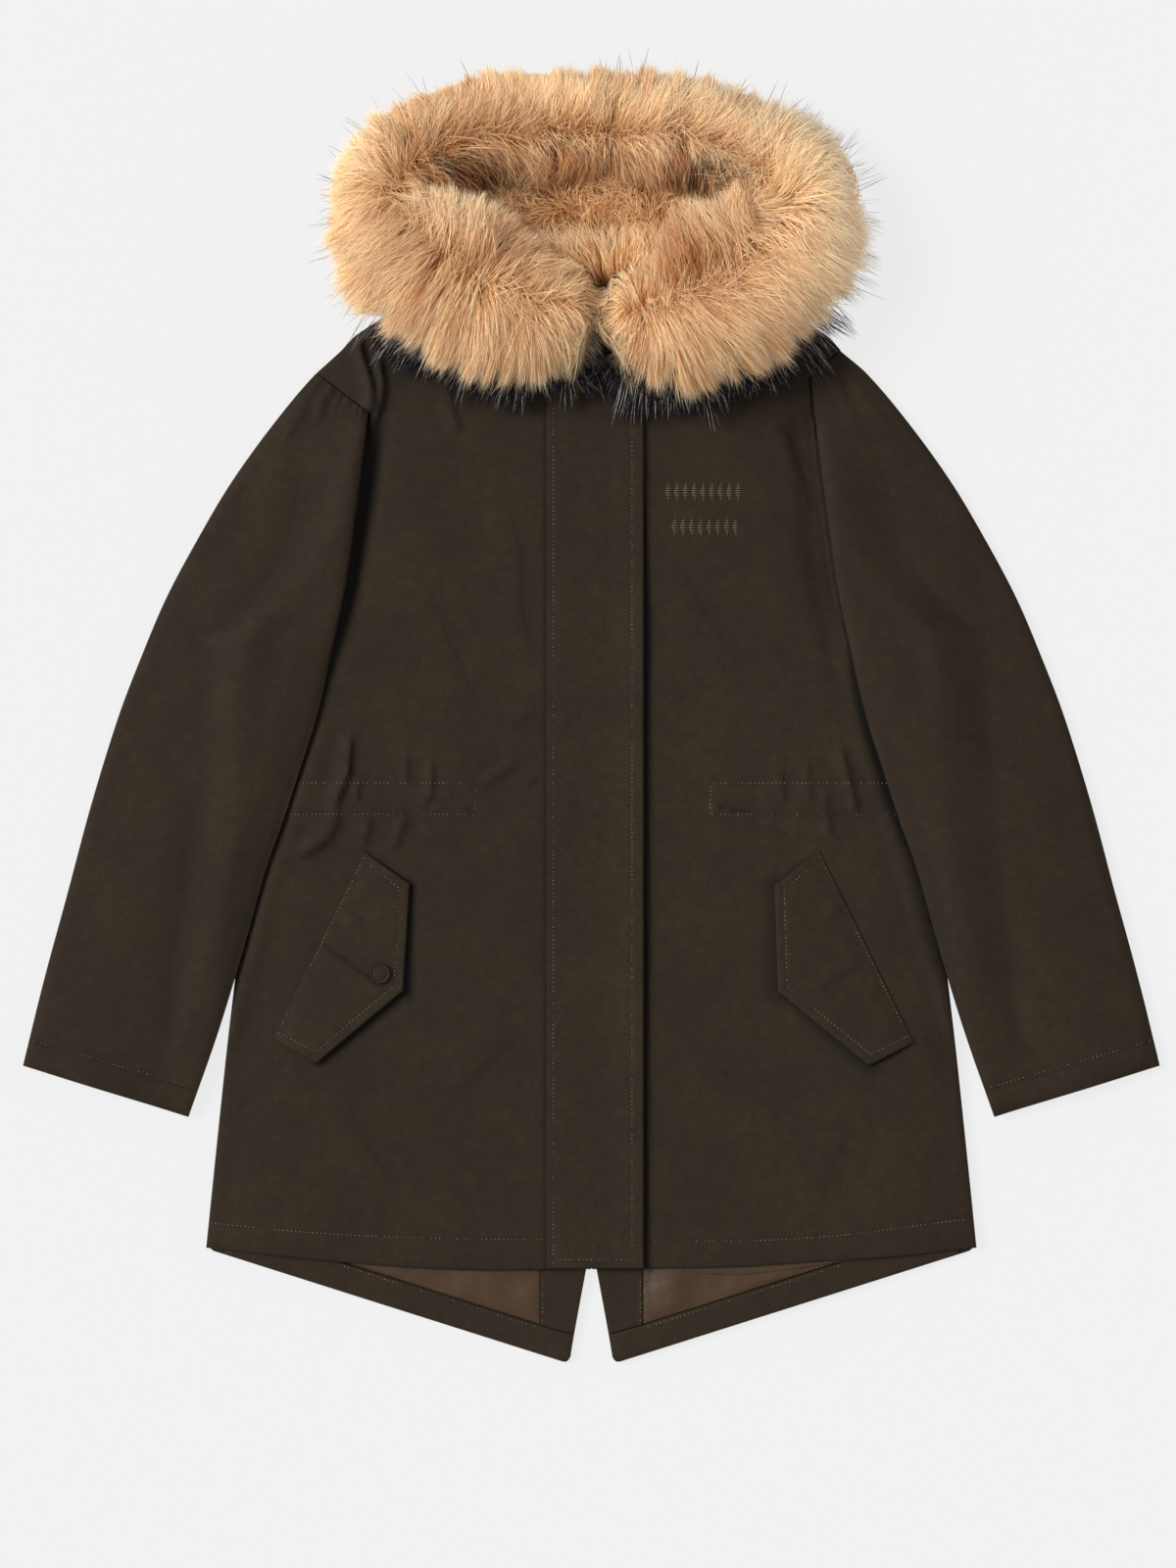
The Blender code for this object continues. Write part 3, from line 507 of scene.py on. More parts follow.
# Where a flap stands off, painted shade stands for its shadow on the cloth beside it. For each stretch
# between two corners, the shade's widths at both and how dark it is.
FLAP_PAINTED_SHADE = {
    -1: [(1.6, 1.8, 0.8), (4.5, 9.0, 0.93), (7.5, 4.0, 0.93)],
    1: [(1.6, 1.6, 0.5), (9.0, 13.0, 0.45), (3.2, 9.0, 0.6), (2.2, 2.0, 0.9)],
}


def flap_painted_shade(side, x, y):
    """Painted shadow of a pocket flap: up to 1 in the crease behind its free edges, 0 clear of it."""
    deepest = np.zeros(np.broadcast(x, y).shape)
    corners = FLAP_CORNERS[side]
    for a, b, (width_a, width_b, depth) in zip(corners, corners[1:], FLAP_PAINTED_SHADE[side]):
        dx, dy, t = off_line(a, b, x, y)
        width = width_a + (width_b - width_a) * t
        deepest = np.maximum(deepest, depth * (1 - ease((np.hypot(dx, dy) - 0.35 * width) / width)))
    return deepest


# y and width of the painted shade, for the sleeve's shadow, in the deep crease between a sleeve's folded
# edge and the front
SLEEVE_PAINTED_SHADE = {
    -1: [(300, 2.0), (338, 2.6), (511, 3.0), (550, 4.4), (590, 7.8), (636, 10.5), (665, 12.8),
         (700, 14.8), (757, 14.0)],
    1: [(300, 1.6), (380, 2.5), (409, 4.0), (440, 6.8), (505, 7.2), (542, 6.0), (565, 3.0),
        (600, 1.8), (757, 1.6)],
}


def groove(off, depth, width):
    """Relief of a soft groove, at a distance from its middle."""
    return -depth * np.exp(-(off / width) ** 2)


def sleeve_painted_shade(side, distance, y):
    """1 in the painted shade of the crease beside a sleeve, 0 clear of it."""
    width = along(SLEEVE_PAINTED_SHADE[side], y)
    off_sleeve = fold_x(y) - distance
    crisp = 1 - ease((off_sleeve - 0.55 * width) / (0.8 * width))
    soft = 0.5 * (side == 1) * (1 - ease(off_sleeve / 19)) * ease((y - 290) / 40) * ease((530 - y) / 60)
    return np.maximum(crisp, soft) * ease((ARMHOLES[side].end_y + 6 - y) / 13)


PLACKET_LEFT, PLACKET_RIGHT = -36.5, 42.0  # x of the storm flap's sewn and free edges
# y and width of the gap beside its free edge, which takes painted shadow
STORM_GAP = [(76, 4.5), (300, 5.5), (520, 6.0), (590, 8.0), (640, 5.0), (690, 2.6), (760, 2.0),
             (772, 5.5), (800, 6.0)]


def storm_painted_shade(x, y):
    """Painted shade: 1 in the gap beside the storm flap's free edge, where its shadow falls, and some in
    the seam along its sewn edge.
    """
    gap = along(STORM_GAP, y)
    start = PLACKET_RIGHT - 0.5 + 0.45 * gap
    free = 0.95 * (1 - ease((x - start) / (0.8 * gap))) * (x > 30)
    return np.maximum(free, 0.45 * np.exp(-((x - PLACKET_LEFT + 0.7) / 1.8) ** 2))


def front_loft(side, distance, y):
    """Height of a front's inner face, at a distance from the centre front."""
    from_side = body_edge(side, y) - distance
    shoulder = along([(row.x, row.y) for row in SHOULDER], np.maximum(NECK_SIDE, distance))
    return WALL + SEAM + HOLLOW * ease(from_side / EDGE_RUN + 0.02) * ease((shoulder - y) / EDGE_RUN + 0.02)


def front_top(side, distance, y, plain=False):
    """Height of a front's outer face. Set plain, it has no folds, as under a sleeve."""
    base = front_loft(side, distance, y) + WALL
    if plain:
        return base
    x = side * distance
    off_sleeve = fold_x(y) - distance  # how far the point lies clear of the sleeve
    cap_y = ARMHOLES[side].end_y
    open_cloth = np.maximum(ease((off_sleeve + 4) / 10), ease((y - cap_y + 4) / 8))
    in_casing = ease((distance - CASING_END[side] + 1) / 3)
    middle = sum(CASING) / 2
    half = (CASING[1] - CASING[0]) / 2
    puff = 0.7 * np.sqrt(np.clip(1 - ((y - middle) / half) ** 2, 0, 1))
    seams = groove(y - CASING[0], 0.45, 1.6) + groove(y - CASING[1], 0.35, 1.6)
    closing = groove(distance - CASING_END[side], 0.35, 1.5) * (np.abs(y - middle) < half)
    hem = groove(y - along(HEM_STITCH[side], distance), 0.5, 1.6)
    waves = ripples(x, y, (0.55, 85, 61), (0.22, 30, 62), (0.06, 9, 63))
    gathered = 0.5 * ripple(x * 2.2, y * 0.7, 26, 64) * ease(distance / 200)
    gathered = gathered * np.exp(-((y - middle) / 60) ** 2)
    dip = -3.2 * ease(1 - off_sleeve / 24) * ease((y - 540) / 80) * ease((cap_y + 2 - y) / 36)
    swell = 1.6 * np.exp(-((off_sleeve - 9) / 7) ** 2) * ease((540 - y) / 60)
    if side == 1:  # the left front sinks beside the sleeve
        sunk = np.exp(-((off_sleeve - 17) / 8) ** 2) * ease((y - 520) / 60)
        swell = swell - 1.8 * sunk * ease((780 - y) / 40)
    folds = fold_relief(FOLDS[side], x, y)[0] * (1 - 0.6 * sleeve_painted_shade(side, distance, y))
    seam_relief = (puff + seams + closing) * in_casing + hem
    return base + (folds + seam_relief + waves + gathered + dip + swell) * open_cloth


for side_name, side in SIDES:
    hole = ARMHOLES[side]
    shares_up = np.concatenate([[0, 0.006, 0.018, 0.04], np.linspace(0.07, 1, 22)])
    levels = with_corners(np.concatenate([np.arange(153, 730, 3.45), np.arange(731, 853.1, 2.1)]), side)
    columns = np.concatenate([[0, 0.02], np.linspace(0.05, 0.985, 99), [0.991, 0.996, 0.9985, 1.0]])
    hem = along(FRONT_HEM[side], SEAM + columns * along(SIDE_SEAM, 92))
    y = np.concatenate([hem + (HEM_ROWS_END - hem) * shares_up[:, None],
                        np.repeat(levels[:, None], len(columns), 1)])
    neck = NECK_SIDE * np.sqrt(np.maximum(0, y - NECK_DIP) / (NECK_TOP - NECK_DIP))
    near = np.maximum(neck, SEAM / 2 + 0.1)
    edge = under_seam(side, y, 0.5 + 2.8 * ease((742 - y) / 8))
    distance = near + (edge - near) * columns
    off_edge = np.minimum(edge - distance, y - y[0])
    off_seam_end = np.hypot(distance - hole.end_x + SEAM, np.minimum(y - hole.end_y, 0))
    off_edge = np.where(y < hole.end_y, np.minimum(off_edge, off_seam_end), off_edge)
    plain_top = front_top(side, distance, y)
    top = plain_top - fold_drop(off_edge, 2.0) - 1.0 * (1 - ease(off_edge / 9)) ** 2
    low = np.minimum(front_loft(side, distance, y), top - 1.2)
    x = side * distance
    # Painted shade, as the crease attribute: in hollows, beside the sleeve, at the folds' unlit sides, and
    # in the shadows of the pocket flaps and the storm flap.
    depth = np.maximum.reduce([
        0.38 * hollows(plain_top), 0.93 * sleeve_painted_shade(side, distance, y),
        0.95 * fold_relief(FOLDS[side], x, y)[1], flap_painted_shade(side, x, y), storm_painted_shade(x, y)])
    front = cloth_wall("front_cloth_" + side_name, *grids(x, y, top, low), crease=depth)
    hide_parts("front_" + side_name)

# Part of the left front's lining has slipped out under its hem, and shows as a narrow strip.
run, across = np.meshgrid(np.linspace(0, 1, 65), spread(8, 0.03), indexing="ij")
x = 56.0 + (209.0 - 56.0) * run
foot = along([(56, 74.4), (88, 71.6), (119, 70.4), (154, 73.8), (190, 79.2), (209, 82.0)], x)
y = foot + (along(FRONT_HEM[1], x) + 7.0 - foot) * across
slip = grid_piece("front_lining_cloth_left", x, y,
                  front_loft(1, x, y) - 0.2 + 0.25 * ripple(x, y, 12, 65), 0.9, 0.7,
                  TAFFETA, "lining_satin")

# --------------------------------------------------------------------------------------- sleeves
# A two piece sleeve, laid flat: the under sleeve on the table and on the side of the body, and the
# top sleeve over it, eased into the armhole at the cap. The cuff is turned in and stitched.

CLIMB, CLIMB_CLEAR = 46.0, 8.0  # how far off the body's side the sleeve starts to climb on it
SLEEVE_LENGTH = 590.0
TOP_CLEAR, UNDER_CLEAR = 0.56, 4.2  # gap to the body at the armhole, of the top and under sleeve
REST = 0.5  # gap between a layer and the one under it
SLEEVE_OUTER = [Edge(811, 200), Edge(793, 221), Edge(754, 254), Edge(707, 288), Edge(660, 316),
                Edge(613, 341), Edge(566, 361), Edge(519, 379), Edge(448, 401), Edge(377, 420),
                Edge(307, 439), Edge(238, 456)]
CUFF_OUTER, CUFF_INNER = 238.0, 197.0  # y of the cuff's corners
CUFF_STITCH = 22.0  # above the cuff's edge
SLEEVE_SEAM = [(511, 383), (384, 413), (259, 446)]  # y, x of the left sleeve's hind seam
SLEEVE_FOLDS = {
    -1: [
        Fold(1.6, 7, 4, [(-218, 789), (-241, 749), (-250, 735)]),
        Fold(1.6, 5, 4, [(-211, 789), (-218, 765), (-220, 750)]),
        Fold(1.2, 4, 3, [(-204, 795), (-208, 781), (-212, 768)]),
        Fold(1.2, 12, 9, [(-277, 720), (-296, 688), (-303, 655)]),
        Fold(1.0, 14, 10, [(-250, 640), (-280, 560), (-305, 500)]),
        Fold(0.9, 16, 12, [(-300, 520), (-335, 430), (-360, 350)]),
        Fold(0.8, 14, 10, [(-345, 330), (-352, 290), (-356, 255)]),
    ],
    1: [
        Fold(1.4, 5, 4, [(190, 800), (200, 775), (214, 750)]),
        Fold(1.2, 6, 5, [(205, 800), (222, 770), (240, 745)]),
        Fold(1.0, 12, 9, [(270, 715), (292, 680), (300, 650)]),
        Fold(1.0, 14, 10, [(250, 640), (275, 560), (300, 500)]),
        Fold(0.9, 16, 12, [(290, 520), (325, 430), (350, 350)]),
        Fold(0.8, 12, 9, [(340, 320), (352, 280), (358, 250)]),
    ],
}


def layer(y, distance):
    """Wall of one sleeve layer: pressed thin along its fold, below the elbow most of all."""
    off_fold = distance - fold_x(y)
    thin = 1.8 + 2.2 * ease((y - 520) / 90)
    return thin + (WALL - thin) * ease(off_fold / 34)


def sleeve_base(side, distance, y):
    """Height of what a sleeve lies on: the table, or the body's side."""
    edge = body_edge(side, y)
    on_body = front_top(side, np.minimum(distance, edge), y, plain=True) + REST + 0.5
    near = ease((edge + CLIMB_CLEAR + CLIMB - distance) / CLIMB)
    return on_body * near * ease((786 - y) / 62)


def sleeve_grid(side, sections, shares, clear):
    """Distance, y, share of the length and distance off the edges, over a sleeve.

    Sections run from the armhole to the cuff, and shares from the outer to the inner edge. clear is
    the gap to the body at the armhole.
    """
    hole = ARMHOLES[side]
    t = sections[:, None]
    outer_y = hole.tip_y + (CUFF_OUTER - hole.tip_y) * t
    inner_y = hole.end_y + (CUFF_INNER - hole.end_y) * t
    outer_x, inner_x = along(SLEEVE_OUTER, outer_y), fold_x(inner_y)
    distance = outer_x + (inner_x - outer_x) * shares
    y = outer_y + (inner_y - outer_y) * shares
    clear = TOP_CLEAR + (clear - TOP_CLEAR) * ease((hole.tip_y - y) / 12)
    distance = np.where(y > 712, np.maximum(distance, body_edge(side, y) + clear), distance)
    width = np.hypot(outer_x - inner_x, outer_y - inner_y)
    return distance, y, np.broadcast_to(t, y.shape), np.minimum(shares, 1 - shares) * width


for side_name, side in SIDES:
    sections, shares = np.linspace(0, 1, 65), spread(20, 0.02)
    distance, y, t, off_edge = sleeve_grid(side, sections, shares, UNDER_CLEAR)
    base = sleeve_base(side, distance, y)
    top = base + layer(y, distance) - fold_drop(off_edge, 1.2)
    under = cloth_wall("under_sleeve_cloth_" + side_name, *grids(side * distance, y, top, base, step=1))
    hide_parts("under_sleeve_" + side_name)

    sections = np.concatenate([[0, 0.0015, 0.004], np.linspace(0.009, 0.993, 170),
                               [0.9965, 0.9985, 0.9995, 1]])
    shares = np.concatenate([[0, 0.0015, 0.006, 0.014], np.linspace(0.028, 0.972, 45),
                             [0.986, 0.994, 0.9985, 1]])
    distance, y, t, off_edge = sleeve_grid(side, sections, shares, TOP_CLEAR)
    x = side * distance
    cuff = (1 - t) * SLEEVE_LENGTH
    off_edge = np.minimum(off_edge, cuff)
    wall = layer(y, distance)
    loft = HOLLOW * np.sin(math.pi * shares) ** 0.6 * ease(t / 0.1 + 0.1)
    fill = 2.4 * np.sin(math.pi * np.clip(shares * 1.25, 0, 1)) ** 2 * ease(t / 0.12)
    low = sleeve_base(side, distance, y) + wall + REST + loft
    waves = ripples(x, y, (0.5, 75, 71), (0.2, 28, 72), (0.05, 9, 73))
    marks = groove(cuff - CUFF_STITCH, 0.6, 1.6) + 0.5 * np.exp(-((cuff - CUFF_STITCH / 2) / 9) ** 2)
    if side == 1:
        marks = marks + groove(distance - along(SLEEVE_SEAM, y), 0.8, 1.4) * ease((520 - y) / 30)
    cap = 0.5 * ripple(shares * 300 + 0 * t, t * 300, 12, 74) * np.exp(-(t / 0.03) ** 2)
    high = low + wall + fill + waves + marks + cap + fold_relief(SLEEVE_FOLDS[side], x, y)[0]
    # Painted shade in the top sleeve's hollows.
    depth = 0.8 * hollows(high)
    if side == -1:  # the right sleeve swells beside the front
        high += 2.2 * ease((y - 560) / 60) * ease((775 - y) / 30) * ease((shares - 0.7) / 0.25)
    high -= fold_drop(off_edge, 1.8) + 1.4 * (1 - ease(off_edge / 9)) ** 2
    high = np.maximum(high, low + 0.6)
    top_sleeve = cloth_wall("top_sleeve_cloth_" + side_name, *grids(x, y, high, low), crease=depth)
    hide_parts("top_sleeve_" + side_name)

# ------------------------------------------------------------------------------------ storm flap
# A straight double strip that covers the zip. It is sewn down along its right edge, topstitched
# along both, and its free edge stands a little off the left front.

PLACKET_FOOT, PLACKET_HEAD = 76.0, 812.0
PLACKET_WALL = 2.4
PLACKET_LEVEL = 770.0  # y above which it no longer follows the fronts down to the neck
PLACKET_STITCH = (-30.6, 32.6)  # x of its two long rows
PLACKET_FOLDS = [
    Fold(1.1, 5, 3, [(8, 783), (21, 769), (35, 762)]),
    Fold(0.7, 5, 4, [(-30, 753), (0, 757), (30, 752)]),
    Fold(0.7, 4, 3, [(-6, 522), (-28, 516)]),
    Fold(0.7, 4, 3, [(17, 514), (35, 506)]),
    Fold(0.7, 4, 3, [(-23, 448), (-8, 440)]),
    Fold(0.6, 4, 3, [(-27, 419), (-14, 415)]),
    Fold(0.8, 4, 3, [(-2, 426), (12, 413)]),
    Fold(0.7, 4, 3, [(17, 410), (28, 399)]),
]


def body_top(x, y, plain=False):
    """Height of whichever front lies at this x."""
    distance = np.abs(x)
    return np.where(x > 0, front_top(1, distance, y, plain), front_top(-1, distance, y, plain))


levels = np.concatenate([[0, 0.4, 1.2, 2.4], np.linspace(4, PLACKET_HEAD - PLACKET_FOOT, 209)])
columns = np.concatenate([[0, 0.5, 1.3], np.linspace(2.6, 75.9, 31), [77.2, 78.0, 78.5]])
x, y = np.meshgrid(columns + PLACKET_LEFT, levels + PLACKET_FOOT)
lift = (1.0 + 1.6 * ease((760 - y) / 250)) * ease((x - 10) / (PLACKET_RIGHT - 10))
level = np.minimum(y, PLACKET_LEVEL)
bed = np.maximum(body_top(x, level, plain=True) + 0.4, body_top(x, level))
low = bed + REST + lift
off_edge = np.minimum(np.minimum(x - PLACKET_LEFT, PLACKET_RIGHT - x), y - PLACKET_FOOT)
waves = ripples(x, y, (0.22, 40, 81), (0.12, 15, 82))
rows = sum(groove(x - line, 0.4, 1.1) for line in PLACKET_STITCH)
folds, fold_painted_shade = fold_relief(PLACKET_FOLDS, x, y)
top = low + PLACKET_WALL + waves + rows + folds - fold_drop(off_edge, 1.3)
# Painted shade at the folds' unlit sides, and a dark line along the sewn edge.
crease = np.maximum(0.8 * fold_painted_shade, 0.75 * (x < PLACKET_LEFT + 0.6))
placket = cloth_wall("placket_cloth", *grids(x, y, top, low), crease=crease)
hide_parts("placket")

# ----------------------------------------------------------------------------------- pocket flaps
# Slanted five sided flaps of doubled cotton. The slanted outer edge is sewn down with one row, a second row
# runs inside the free edges, and the free edge stands off the front, where a snap holds it.

FLAP_FOLDS = {
    -1: [Fold(2.4, 8, 2.4, [(-221, 338), (-207, 326), (-190, 315), (-176, 305), (-160, 296)]),
         Fold(1.2, 4, 3, [(-202, 364), (-182, 351)]),
         Fold(0.9, 4, 3, [(-187, 328), (-183, 315)])],
    1: [Fold(1.4, 6, 4, [(220, 323), (198, 314), (177, 299)]),
        Fold(0.8, 6, 5, [(205, 375), (182, 350)])],
}
FLAP_STITCH, SEWN_STITCH = 7.6, 1.8  # how far inside the free edges and the sewn edge the rows are


def between(a, b, t):
    """The point a share t of the way from a to b."""
    return tuple(p + (q - p) * t for p, q in zip(a, b))


for side_name, side in SIDES:
    head, *free, foot = FLAP_CORNERS[side]
    s = np.concatenate([[0, 0.004, 0.012], np.linspace(0.025, 0.975, 55), [0.988, 0.996, 1]])[:, None]
    t = np.concatenate([[0, 0.005, 0.015], np.linspace(0.035, 0.965, 35), [0.985, 0.995, 1]])[None, :]
    sewn_x, sewn_y = between(head, foot, s)
    free_x, free_y = (np.interp(s, (0.0, 0.5, 1.0), [corner[c] for corner in free]) for c in (0, 1))
    x, y = between((sewn_x, sewn_y), (free_x, free_y), t)
    width = np.hypot(free_x - sewn_x, free_y - sewn_y)
    off_sewn, off_free = t * width, (1 - t) * width
    off_ends = np.minimum(s, 1 - s) * math.dist(head, foot) * (1 - 0.15 * t)
    off_edge = np.minimum(np.minimum(off_free, off_ends), off_sewn)
    stand = (1.0 + 2.2 * s * (side == -1) + 0.8 * (side == 1)) * ease(t * 1.15)
    low = front_top(side, np.abs(x), y) + REST + stand
    waves = ripples(x, y, (0.4, 42, 91), (0.15, 14, 92))
    rows = groove(off_free - FLAP_STITCH, 0.5, 1.2) + groove(off_sewn - SEWN_STITCH, 0.4, 1.0)
    rows = rows + groove(off_ends - FLAP_STITCH, 0.5, 1.2) * (off_free > 7)
    folds, fold_painted_shade = fold_relief(FLAP_FOLDS[side], x, y)
    top = low + 1.0 + 1.6 * ease(off_sewn / 16) + waves * ease(off_edge / 8) + rows + folds
    # Painted shade at the unlit sides of the flap's folds.
    piece = cloth_wall("pocket_flap_cloth_" + side_name, *grids(x, y, top - fold_drop(off_edge, 1.2), low),
                       crease=0.55 * fold_painted_shade)
    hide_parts("pocket_flap_" + side_name)

# ------------------------------------------------------------------------------------------ snap
# A ring snap on the right pocket flap, with a low domed cap turned from steel. The cap is lacquered
# in the cloth's colour and clinched through the flap.

SNAP_RADIUS, SNAP_HEIGHT = 8.4, 2.2
SNAP_AT = (-169.2, 312.4)
# Radius and height of the cap's profile, as shares, from its middle over the ring to the foot.
SNAP_PROFILE = [(0.0, 0.80), (0.3, 0.78), (0.55, 0.68), (0.68, 0.56), (0.74, 0.50), (0.79, 0.58),
                (0.84, 0.78), (0.89, 0.90), (0.93, 0.88), (0.97, 0.72), (1.0, 0.45), (0.99, 0.1),
                (0.96, 0.0)]

# A thin sprayed lacquer: nearly matt, with faint specks, and a weak soft light on the ring.
LACQUER, tree, shader = new_material("lacquered_snap_cap", Roughness=0.68, Specular_IOR_Level=0.07)
here = add_node(tree, "ShaderNodeTexCoord").outputs["Object"]
specks = add_node(tree, "ShaderNodeTexNoise", {"Vector": here, "Scale": 900.0, "Detail": 2.0})
paint = add_node(tree, "ShaderNodeMix",
                 {0: specks.outputs["Fac"], 6: linear("#211a12"), 7: linear("#2a2118")}, data_type="RGBA")
tree.links.new(paint.outputs[2], shader.inputs["Base Color"])

turns = np.linspace(0, 2 * math.pi, 48, endpoint=False)
snap_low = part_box("snap_cap")[0][2] * 1000


def turned(radii, heights):
    """A grid of points round the snap's axis, one row for each radius and height."""
    radius, height = np.reshape(radii, (-1, 1)), np.reshape(heights, (-1, 1))
    return np.stack([SNAP_AT[0] + radius * np.cos(turns), SNAP_AT[1] + radius * np.sin(turns),
                     snap_low + height + 0 * turns], -1)


radii, heights = np.array(SNAP_PROFILE).T
cap = turned(np.maximum(radii, 0.02) * SNAP_RADIUS, heights * SNAP_HEIGHT)
under = turned([0.02 * SNAP_RADIUS, 0.94 * SNAP_RADIUS], [0, 0])
snap = cloth_wall("snap_cap_turned", cap, under, LACQUER, "snap_metal", ring=True)
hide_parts("snap_cap")

# -------------------------------------------------------------------------------------- stitches
# Lockstitches 3.4 mm apart in cotton wrapped thread, a shade lighter than the cloth. They hold the
# hems, the casing, the storm flap and the pocket flaps. Each is a small spindle, pulled in a little.

# Twisted thread is rounder and shinier than the cloth, so each stitch catches a little light.
THREAD = woven_cotton("stitching_thread", "#625848", "#7d725e", roughness=0.7, wax=0.3)
STITCH_PITCH, STITCH_LENGTH, STITCH_WIDTH = 3.4, 1.9, 0.85


def stitches(name, rows, height):
    """Spindles along rows of points (x, y), lying at height(x, y)."""
    points, faces = [], []
    pull = np.random.default_rng(96)
    for row in rows:
        row = np.array(row, float)
        spans = np.linalg.norm(np.diff(row, axis=0), axis=1)
        gone = np.concatenate([[0], np.cumsum(spans)])
        places = np.arange(STITCH_PITCH / 2, gone[-1], STITCH_PITCH)
        ends = []
        for offset in (-STITCH_LENGTH / 2, 0, STITCH_LENGTH / 2):
            at_place = np.clip(places + offset, 0, gone[-1])
            x, y = (np.interp(at_place, gone, row[:, c]) for c in (0, 1))
            ends.append(np.stack([x, y, height(x, y)], -1))
        first, middle, last = ends
        along_row = last - first
        across = np.stack([-along_row[:, 1], along_row[:, 0], 0 * along_row[:, 0]], -1)
        across *= (STITCH_WIDTH / 2 / np.linalg.norm(across, axis=1))[:, None]
        pulled = 0.32 * ripple(first[:, 0], first[:, 1], 24, 95) + pull.normal(0, 0.18, len(first)) + 0.17
        for points_on in (first, middle, last):  # some stitches are pulled deeper into the cloth
            points_on[:, 2] -= np.clip(pulled, 0, 0.6)
        up = np.array([0, 0, STITCH_WIDTH * 0.45])
        sunk = np.array([0, 0, -0.25])
        ring = [middle - across, middle + up, middle + across, middle - up]
        for stitch in np.stack([first + sunk, *ring, last + sunk], 1):
            start = len(points)
            points.extend(stitch.tolist())
            for k in range(4):
                a, b = start + 1 + k, start + 1 + (k + 1) % 4
                faces += [(start, a, b), (start + 5, b, a)]
    data = bpy.data.meshes.new(name)
    data.from_pydata(metres(points).tolist(), [], faces)
    add_piece(name, data, THREAD)


def mesh_height(piece, lift=0.1):
    """A function that gives the height of a piece's upper face at x and y."""
    bpy.context.view_layer.update()
    tree = BVHTree.FromObject(piece, bpy.context.evaluated_depsgraph_get())

    def height(x, y):
        """A ray straight down through each point. Where it meets nothing, the height is 0."""
        found = np.zeros(len(x))
        for k, (px, py) in enumerate(metres(np.stack([x, y, 0 * x], -1))[:, :2]):
            hit = tree.ray_cast((px, py, 1.0), (0, 0, -1))[0]
            found[k] = hit.z * 1000 if hit else 0.0
        return found + lift

    return height


def line(points, count=24):
    """Points on a smooth curve through a few (x, y) points given in order of x."""
    xs = np.linspace(points[0][0], points[-1][0], count)
    return [(x, float(along(points, x))) for x in xs]


def mitred(corners, inset):
    """The corners between the first and the last, each moved inwards to lie inset from both edges."""
    moved = []
    for before, corner, after in zip(corners, corners[1:], corners[2:]):
        a, b = np.array(before) - corner, np.array(after) - corner
        a, b = a / np.linalg.norm(a), b / np.linalg.norm(b)
        half = math.acos(float(a @ b)) / 2
        moved.append(tuple(corner + (a + b) / np.linalg.norm(a + b) * inset / math.sin(half)))
    return moved


pieces = bpy.data.objects
right_row, left_row = PLACKET_STITCH
rows = [[(right_row, 79), (right_row, 808)], [(left_row, 83), (left_row, 808)], [(-29, 83.2), (31, 83.2)]]
stitches("stitches_placket", rows, mesh_height(pieces["placket_cloth"]))
for side_name, side in SIDES:
    start, end = side * CASING_END[side], side * 244.0
    rows = [[(start, y), (end, y)] for y in CASING]
    rows.append([(start, y) for y in CASING])
    rows.append([(side * x, y) for x, y in line(HEM_STITCH[side])])
    stitches("stitches_front_" + side_name, rows, mesh_height(pieces["front_cloth_" + side_name]))

    corners = FLAP_CORNERS[side]
    head, *free, foot = (np.array(corner) for corner in corners)
    sewn = foot - head
    inwards = np.array([sewn[1], -sewn[0]]) / np.linalg.norm(sewn) * side
    inwards = (inwards if inwards @ (free[0] - head) > 0 else -inwards) * SEWN_STITCH
    rows = [[head + inwards + sewn * 0.02, foot + inwards - sewn * 0.02],
            [between(head, free[0], 0.12) + np.array([0, -FLAP_STITCH]), *mitred(corners, FLAP_STITCH),
             between(foot, free[2], 0.12) + np.array([0, FLAP_STITCH])]]
    stitches("stitches_flap_" + side_name, rows, mesh_height(pieces["pocket_flap_cloth_" + side_name]))

    cuff_run = [(449, CUFF_OUTER + CUFF_STITCH - 1.5), (318, CUFF_INNER + CUFF_STITCH + 1.5)]
    stitches("stitches_cuff_" + side_name, [[(side * x, y) for x, y in cuff_run]],
             mesh_height(pieces["top_sleeve_cloth_" + side_name]))
    band_x = np.linspace(VENT_FACING + 3, 200, 30)
    band = [(side * x, float(tail_hem(x)) + FACING_RISE - 2.2) for x in band_x]
    stitches("stitches_tail_" + side_name, [band], mesh_height(pieces["tail_facing_cloth_" + side_name]))
    vent = [(side * (VENT_FACING - 1.8), y) for y in (32.0, 74.0)]
    stitches("stitches_vent_" + side_name, [vent], mesh_height(pieces["vent_facing_cloth_" + side_name]))

# ------------------------------------------------------------------------------ chest embroidery
# Two staggered rows of small plain lozenges in satin stitch, on the wearer's left chest. The thread is near
# the cloth's own colour, and round each lozenge lies painted shade: a low, near black pyramid.

LOZENGE_ROWS = [(698.0, 62.0, 9), (670.0, 67.0, 8)]  # y, x of the first one, how many
LOZENGE_STEP, LOZENGE_WIDTH, LOZENGE_TALL = 7.0, 5.6, 15.0
# Loosely twisted thread, laid side by side: smooth and a little shiny. The near black material round it is
# painted shade.
EMBROIDERY = woven_cotton("embroidery_thread", "#40382a", "#5d523f", roughness=0.6, wax=0.3)
EMBROIDERY_PAINTED_SHADE = woven_cotton("embroidery_painted_shade", "#0c0906", "#14100b", roughness=0.8, wax=0.1)

